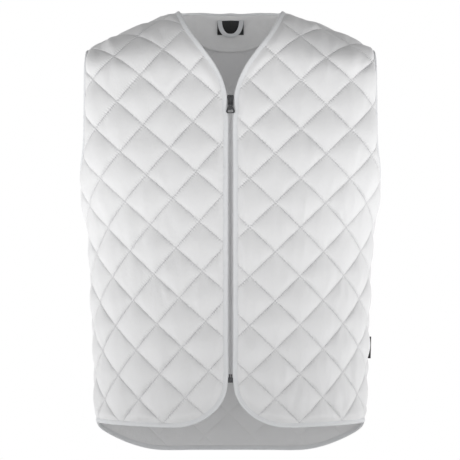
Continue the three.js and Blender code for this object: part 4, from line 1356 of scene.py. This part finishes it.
@dataclass
class BackNeck:
    """Facing, label and hanger loop inside the back neck."""

    workshop: Workshop
    facing_half_width: float = 0.096
    facing_depth: float = 0.075
    facing_thickness: float = 0.0012
    facing_level: float = -0.0056
    tape_reach: float = 0.009
    roundness: float = 0.8
    label_width: float = 0.048
    label_height: float = 0.031
    label_drop: float = 0.011
    label_thickness: float = 0.0006
    label_level: float = -0.0070
    loop_half_width: float = 0.024
    loop_drop: float = 0.044
    loop_tape_width: float = 0.008
    loop_thickness: float = 0.001
    loop_level: float = -0.0081
    loop_bulge: float = 0.0065

    def build(self) -> None:
        """Builds the three pieces."""
        self._facing()
        self._label()
        self._loop()

    def _slab(self, name: str, grid: np.ndarray, level: np.ndarray, thickness: float) -> bpy.types.Object:
        """Thin piece over a grid of places on the back wall."""
        wall = self.workshop.wall
        faces = [
            wall.point(Half.BACK, grid[..., 0], grid[..., 1], level + side * thickness / 2) for side in (1, -1)
        ]
        return slab_parts(*faces, grid).object(name)

    def _facing(self) -> None:
        """Half-moon facing, draped over the quilting, with a turned and stitched lower edge."""
        wall = self.workshop.wall
        p = self.workshop.pattern
        upper = -(p.tape_outer + 0.001 + self.facing_thickness / 2)
        seam = wall.seam_at(Half.BACK, self.facing_half_width)
        centre = wall.back_neck(1)[1]
        shares = np.linspace(-1, 1, 121)
        rows = []
        for share in shares:
            neck = wall.back_neck(1 - abs(share))
            angle = QUARTER_TURN * (1 - abs(share))
            foot = (
                self.facing_half_width * math.cos(angle) ** self.roundness,
                seam - (seam - centre + self.facing_depth) * math.sin(angle) ** self.roundness,
            )
            t = np.linspace(0, 1, 41)
            across = np.sign(share) * (neck[0] + (foot[0] - neck[0]) * t)
            along = neck[1] + (foot[1] - neck[1]) * t - p.fit_gap - p.tape_thickness * (1 - t)
            rows.append(np.stack([across, along, t * abs(foot[1] - neck[1]), t], axis=-1))
        grid = np.array(rows)
        fall = smoothstep(grid[..., 2], 0, self.tape_reach)
        level = upper + (self.facing_level - upper) * fall
        hollow = 1 - BACK_QUILTING.pillow(grid[..., :2].reshape(-1, 2)).reshape(level.shape)
        level = level + 0.0016 * hollow * fall
        for fold in FACING_FOLDS:
            level = level - fold.rise(grid[..., :2].reshape(-1, 2)).reshape(level.shape) * fall
        hem = np.exp(-(((grid[..., 3] - 0.955) / 0.028) ** 2))
        level = level - 0.0013 * hem
        facing = self._slab("back_neck_facing", grid[..., :2], level, self.facing_thickness)
        self.workshop.finishes.dress(facing, "facing_cloth")
        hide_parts("back_facing")
        line = grid[6:-6, 36, :2]
        depth = level[6:-6, 36] - self.facing_thickness / 2
        thread = Thread(self.workshop, height=-0.0003)
        parts = MeshParts()
        thread.stitches(parts, Half.BACK, line, depth)
        stitches = parts.object("facing_thread")
        self.workshop.finishes.dress(stitches, "facing_cloth", "thread")
        cut = (2 * self.facing_half_width, seam - centre + self.facing_depth)

    def _label(self) -> None:
        """Woven label, bare, a little bowed between its sewn ends."""
        top = self.workshop.wall.back_neck(1)[1] - self.label_drop
        across = np.linspace(-0.5, 0.5, 41) * self.label_width
        down = np.linspace(0, 1, 27)
        grid = np.stack(np.meshgrid(across, top - self.label_height * down, indexing="ij"), axis=-1)
        bow = 0.0005 * np.sin(np.pi * (grid[..., 0] / self.label_width + 0.5)) * down[None, :]
        label = self._slab("woven_neck_label", grid, self.label_level - bow, self.label_thickness)
        self.workshop.finishes.dress(label, "black_weave")
        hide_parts("neck_label")

    def _loop_middle(self, t: np.ndarray) -> np.ndarray:
        """Middle line of the hanger loop, from end to end."""
        angle = np.pi * np.clip(t, 0, 1)
        p = self.workshop.pattern
        top = self.workshop.wall.back_neck(1)[1] - p.tape_width
        reach = self.loop_half_width - self.loop_tape_width / 2
        drop = self.loop_drop - self.loop_tape_width / 2 - p.tape_width
        return np.stack([
            -reach * np.sign(np.cos(angle)) * np.abs(np.cos(angle)) ** 0.75,
            top - drop * np.sin(angle) ** 0.85,
            self.loop_level - self.loop_bulge * np.sin(angle) ** 2,
        ], axis=-1)

    def _loop(self) -> None:
        """Hanger loop: a ribbed tape in a U over the label."""
        t = np.linspace(0, 1, 97)
        middle = self._loop_middle(t)
        way = unit((self._loop_middle(t + 0.01) - self._loop_middle(t - 0.01))[:, :2])
        side = np.stack([-way[:, 1], way[:, 0]], axis=-1)
        half_width = self.loop_tape_width / 2
        half_thick = self.loop_thickness / 2
        section = ((-1, -0.4), (-0.9, -1), (0.9, -1), (1, -0.4), (1, 0.4), (0.9, 1), (-0.9, 1), (-1, 0.4))
        rows = []
        for beside, outward in section:
            place = middle[:, :2] + beside * half_width * side
            level = middle[:, 2] + outward * half_thick
            rows.append(self.workshop.wall.point(Half.BACK, place[:, 0], place[:, 1], level))
        rows = np.stack(rows, axis=1)
        length = np.concatenate([[0], np.cumsum(np.linalg.norm(np.diff(middle, axis=0), axis=1))])
        across = np.array([beside * half_width for beside, _ in section])
        cloth = np.stack(np.broadcast_arrays(across[None, :], length[:, None]), axis=-1)
        loop = tube_parts(rows, False, cloth).object("tape_hanger_loop")
        self.workshop.finishes.dress(loop, "loop_tape")
        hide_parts("hanger_loop")


@dataclass
class FrontZip:
    """Closed coil zip on woven tapes, with its slider, pull and end fitting."""

    workshop: Workshop
    tape_top: float = 0.157
    chain_half: float = 0.0026
    chain_thickness: float = 0.0026
    tape_width: float = 0.0115
    tape_thickness: float = 0.0008
    wire: float = 0.00040
    turn_pitch: float = 0.00135
    turn_steps: int = 10
    wire_sides: int = 5

    @property
    def level(self) -> float:
        """How far out the zip's middle lies."""
        p = self.workshop.pattern
        return -(p.tape_outer + p.fit_gap + self.tape_thickness / 2)

    def build(self) -> None:
        """Builds tapes, coils and metal parts."""
        for name, side in (("left", 1), ("right", -1)):
            self._tape(name, side)
            self._coil(name, side)
        self._metal("zip_slider", VEST_BODY)
        self._metal("zip_pull", PULL_BODY)
        self._metal("zip_box", VEST_BODY)
        self._metal("zip_pin", VEST_BODY)

    def _tape(self, name: str, side: int) -> None:
        """Woven tape on one side, thinned towards both its edges."""
        p = self.workshop.pattern
        foot = p.corner_top + 0.002
        inner = self.chain_half + p.fit_gap
        across = inner + np.linspace(0, 1, 9) * self.tape_width
        along = -np.linspace(self.tape_top, foot, 240)
        grid = np.stack(np.meshgrid(side * across, along, indexing="ij"), axis=-1)
        thin = np.interp(across, [inner, inner + 0.0004, across[-1] - 0.0008, across[-1]], [0.5, 1, 1, 0.4])
        level = np.full(grid.shape[:2], self.level)
        wall = self.workshop.wall
        faces = []
        for face in (1, -1):
            out = level + face * self.tape_thickness / 2 * thin[:, None]
            faces.append(wall.point(Half.FRONT, grid[..., 0], grid[..., 1], out))
        tape = slab_parts(*faces, grid).object(f"woven_zip_tape_{name}")
        self.workshop.finishes.dress(tape, "zip_tape")
        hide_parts(f"zip_tape_{name}")

    def _coil(self, name: str, side: int) -> None:
        """Row of coil on one side, which meshes with the other row at the centre line."""
        low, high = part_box(f"zip_chain_{name}")
        length = high.z - low.z
        turns = length / self.turn_pitch
        angle = np.linspace(0, 2 * np.pi * turns, int(turns * self.turn_steps))
        phase = 0 if side > 0 else np.pi
        middle = (self.chain_half + self.workshop.pattern.fit_gap / 2) / 2
        swing = (self.chain_half - self.workshop.pattern.fit_gap / 2) / 2 - self.wire
        squareness = np.cos(angle + phase)
        across = side * (middle + swing * np.sign(squareness) * np.abs(squareness) ** 0.6)
        out = self.level + (self.chain_thickness / 2 - self.wire) * np.sin(angle + phase)
        along = high.z - 0.0002 - (length - 0.0004) * angle / angle[-1]
        path = self.workshop.wall.point(Half.FRONT, across, along, out)
        way = unit(np.gradient(path, axis=0))
        beside = unit(np.cross(way, np.broadcast_to((0.0, 0.0, 1.0), way.shape)))
        above = np.cross(beside, way)
        rows = []
        for k in range(self.wire_sides):
            spin = 2 * np.pi * k / self.wire_sides
            rows.append(path + self.wire * (math.cos(spin) * beside + math.sin(spin) * above))
        coil = tube_parts(np.stack(rows, axis=1), False).object(f"zip_coil_{name}")
        self.workshop.finishes.dress(coil, "zip_chain")
        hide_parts(f"zip_chain_{name}")

    def _metal(self, node: str, body: str) -> None:
        """Metal part: the frame's own shape with its edges broken."""
        work = bmesh.new()
        work.from_mesh(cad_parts[node].data)
        bmesh.ops.remove_doubles(work, verts=work.verts, dist=1e-6)
        bmesh.ops.dissolve_limit(work, angle_limit=math.radians(2), verts=work.verts, edges=work.edges)
        mesh = bpy.data.meshes.new(f"cast_{node}")
        work.to_mesh(mesh)
        work.free()
        piece = bpy.data.objects.new(f"cast_{node}", mesh)
        bpy.context.scene.collection.objects.link(piece)
        bevel = piece.modifiers.new("broken_edges", "BEVEL")
        bevel.width = 0.00018
        bevel.segments = 2
        bevel.limit_method = "ANGLE"
        bevel.angle_limit = math.radians(25)
        bevel.use_clamp_overlap = True
        graph = bpy.context.evaluated_depsgraph_get()
        finished = bpy.data.meshes.new_from_object(piece.evaluated_get(graph))
        piece.modifiers.clear()
        piece.data = finished
        self.workshop.finishes.dress(piece, "dark_metal", body=body)
        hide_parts(node)


@dataclass
class SideTag:
    """Small folded tag in the left side seam, bare."""

    workshop: Workshop
    width: float = 0.0093
    height: float = 0.0385
    thickness: float = 0.0009
    drop: float = 0.585

    def build(self) -> None:
        """Builds the tag as one doubled strip with a round fold."""
        wall = self.workshop.wall
        p = self.workshop.pattern
        along = -self.drop - self.height * (np.linspace(0, 1, 25) - 0.5)
        across = np.array([wall.side_across(Half.FRONT, value) for value in along])
        outward, upward = wall.directions(Half.FRONT, across, along)
        beside = unit(np.cross(upward, outward))
        root = wall.middle(Half.FRONT, across, along)
        reach = p.edge_half + p.fit_gap
        section = [(0.0, 1.0), (0.3, 1.0), (0.7, 0.95), (0.93, 0.8), (0.985, 0.45), (1.0, 0.0)]
        section += [(far, -face) for far, face in section[-2::-1]]
        rows = []
        for far, face in section:
            wave = 0.0003 * np.sin(np.linspace(0, 2 * np.pi, len(along))) * far
            rows.append(root + outward * (reach + far * self.width)
                        + beside * (face * self.thickness / 2 + wave)[:, None])
        rows = np.stack(rows, axis=1)
        far = np.array([far for far, _ in section]) * self.width
        cloth = np.stack(np.broadcast_arrays(far[None, :], along[:, None]), axis=-1)
        tag = tube_parts(rows, False, cloth).object("woven_side_tag")
        self.workshop.finishes.dress(tag, "black_weave")
        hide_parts("side_tag")


@dataclass
class Studio:
    """Camera, pale floor and soft light."""

    distance: float = 3.2
    frame_width: float = 0.8004
    picture_middle: float = -0.378
    aside: float = -0.00087
    floor_height: float = -0.92
    floor_radius: float = 0.52

    def build(self) -> None:
        """Sets up the studio."""
        self._camera()
        self._floor()
        self._light()

    def _camera(self) -> None:
        """Level camera at the front."""
        camera = bpy.data.cameras.new("camera")
        camera.sensor_width = 36.0
        camera.lens = camera.sensor_width * self.distance / self.frame_width
        holder = bpy.data.objects.new("camera", camera)
        holder.location = (self.aside, -self.distance, self.picture_middle)
        holder.rotation_euler = (QUARTER_TURN, 0, 0)
        bpy.context.scene.collection.objects.link(holder)
        bpy.context.scene.camera = holder

    def _floor(self) -> None:
        """Round pale floor with a soft edge."""
        steps = 96
        rings = np.array([0.25, 0.5, 0.75, 0.98, 1.0]) * self.floor_radius
        angle = np.arange(steps) * 2 * np.pi / steps
        points = [np.array([[0, 0, self.floor_height]])]
        for number, radius in enumerate(rings):
            drop = 0.004 if number == len(rings) - 1 else 0.0
            points.append(np.stack([
                radius * np.cos(angle), radius * np.sin(angle), np.full(steps, self.floor_height - drop),
            ], axis=-1))
        faces = [[0, 1 + i, 1 + (i + 1) % steps] for i in range(steps)]
        faces += [[i + 1 for i in face[::-1]] for face in grid_faces(len(rings), steps, wrap=True)]
        parts = MeshParts()
        parts.add(np.vstack(points), faces)
        floor = parts.object("studio_floor")
        shader = Shader("floor_paint", (0.90, 0.90, 0.90), 0.6)
        shader.feed("Roughness", 0.55 + shader.solid_noise(6.0) * 0.15)
        floor.data.materials.append(shader.material)

    def _light(self) -> None:
        """Even white surroundings, brighter beside and below the vest than in front of it and above."""
        scene = bpy.context.scene
        scene.view_settings.view_transform = "Standard"
        scene.view_settings.look = "None"
        world = bpy.data.worlds.new("studio")
        world.use_nodes = True
        tree = world.node_tree
        scene.world = world
        background = tree.nodes["Background"]
        way = tree.nodes.new("ShaderNodeTexCoord")
        split = tree.nodes.new("ShaderNodeSeparateXYZ")
        tree.links.new(way.outputs["Generated"], split.inputs[0])
        strength = None
        for axis, gain, power in ((0, 0.50, 2.0), (2, -0.84, 1.0), (1, 0.0, 1.0)):
            raised = tree.nodes.new("ShaderNodeMath")
            raised.operation = "POWER" if power == 2.0 else "MULTIPLY"
            tree.links.new(split.outputs[axis], raised.inputs[0])
            raised.inputs[1].default_value = power if power == 2.0 else 1.0
            part = tree.nodes.new("ShaderNodeMath")
            part.operation = "MULTIPLY_ADD"
            tree.links.new(raised.outputs[0], part.inputs[0])
            part.inputs[1].default_value = gain
            part.inputs[2].default_value = 0.83
            if strength is not None:
                part.inputs[2].default_value = 0.0
                tree.links.new(strength, part.inputs[2])
            strength = part.outputs[0]
        seen = tree.nodes.new("ShaderNodeLightPath")
        choice = tree.nodes.new("ShaderNodeMix")
        tree.links.new(seen.outputs["Is Camera Ray"], choice.inputs[0])
        tree.links.new(strength, choice.inputs[2])
        choice.inputs[3].default_value = 1.0
        tree.links.new(choice.outputs[0], background.inputs["Strength"])
        background.inputs["Color"].default_value = (1.0, 1.0, 1.0, 1.0)


FRONT_LEFT_QUILTING = Quilting(0.118, -0.373, 0.0430, 0.0412, 0.0, seed=11)
FRONT_RIGHT_QUILTING = Quilting(-0.097, -0.324, 0.0420, 0.0420, 3.6, seed=12)
BACK_QUILTING = Quilting(0.004, -0.042, 0.0425, 0.0416, 0.0, seed=13)

LEFT_FOLDS = (
    Fold(0.060, -0.060, 0.030, 0.006, 0.0014),
    Fold(0.078, -0.075, 0.032, 0.006, 0.0012),
    Fold(0.150, -0.040, 0.028, 0.007, 0.0015),
    Fold(0.176, -0.052, 0.026, 0.007, 0.0013),
    Fold(0.137, -0.100, 0.030, 0.007, 0.0014),
    Fold(0.160, -0.104, 0.028, 0.006, 0.0011),
    Fold(0.205, -0.090, 0.034, 0.008, 0.0014),
)
RIGHT_FOLDS = (
    Fold(-0.205, -0.042, 0.026, 0.007, 0.0015),
    Fold(-0.190, -0.110, 0.034, 0.007, 0.0014),
    Fold(-0.150, -0.020, 0.026, 0.007, 0.0013),
    Fold(-0.118, -0.095, 0.034, 0.008, 0.0014),
    Fold(-0.098, -0.130, 0.032, 0.007, 0.0011),
)
BACK_FOLDS = (
    Fold(-0.150, -0.060, 0.045, 0.009, 0.0015, 12.0),
    Fold(0.155, -0.070, 0.045, 0.009, 0.0015, -12.0),
    Fold(-0.060, -0.330, 0.070, 0.014, 0.0012, 25.0),
    Fold(0.075, -0.350, 0.070, 0.014, 0.0012, -25.0),
)
FACING_FOLDS = (
    Fold(0.063, -0.010, 0.018, 0.004, 0.0007),
    Fold(-0.064, -0.010, 0.018, 0.004, 0.0007),
)


def main() -> None:
    """Builds the vest piece by piece."""
    logging.basicConfig(level=logging.INFO, format="%(message)s")
    Studio().build()
    wall = Wall(Pattern())
    draft = Draft(wall)
    left = draft.front()
    workshop = Workshop(wall, Finishes(), left, left.mirrored(), draft.back())
    front, back = Half.FRONT, Half.BACK
    QuiltedPanel(workshop, "front_panel_left", front, workshop.left, FRONT_LEFT_QUILTING, LEFT_FOLDS).build()
    QuiltedPanel(workshop, "front_panel_right", front, workshop.right, FRONT_RIGHT_QUILTING, RIGHT_FOLDS).build()
    QuiltedPanel(workshop, "back_panel", back, workshop.back, BACK_QUILTING, BACK_FOLDS).build()
    EdgeTape(workshop, "binding_front_left", ((front, workshop.left, Edge.OPENING, 0),), seed=21).build()
    EdgeTape(workshop, "binding_front_right", ((front, workshop.right, Edge.OPENING, 0),), seed=22).build()
    EdgeTape(workshop, "binding_neck_back", ((back, workshop.back, Edge.NECK, 0),), seed=23).build()
    EdgeTape(workshop, "binding_hem_back", ((back, workshop.back, Edge.TAIL, 0),), seed=24).build()
    for name, outline, seed in (("left", workshop.left, 25), ("right", workshop.right, 26)):
        backs = workshop.back.line(Edge.ARMHOLE, 0, 0)
        number = 0 if (backs[0][0, 0] < 0) == (name == "left") else 1
        runs = ((front, outline, Edge.ARMHOLE, 0), (back, workshop.back, Edge.ARMHOLE, number))
        EdgeTape(workshop, f"binding_armhole_{name}", runs, ring=True, seed=seed).build()
    BackNeck(workshop).build()
    FrontZip(workshop).build()
    SideTag(workshop).build()


if __name__ == "__main__":
    main()
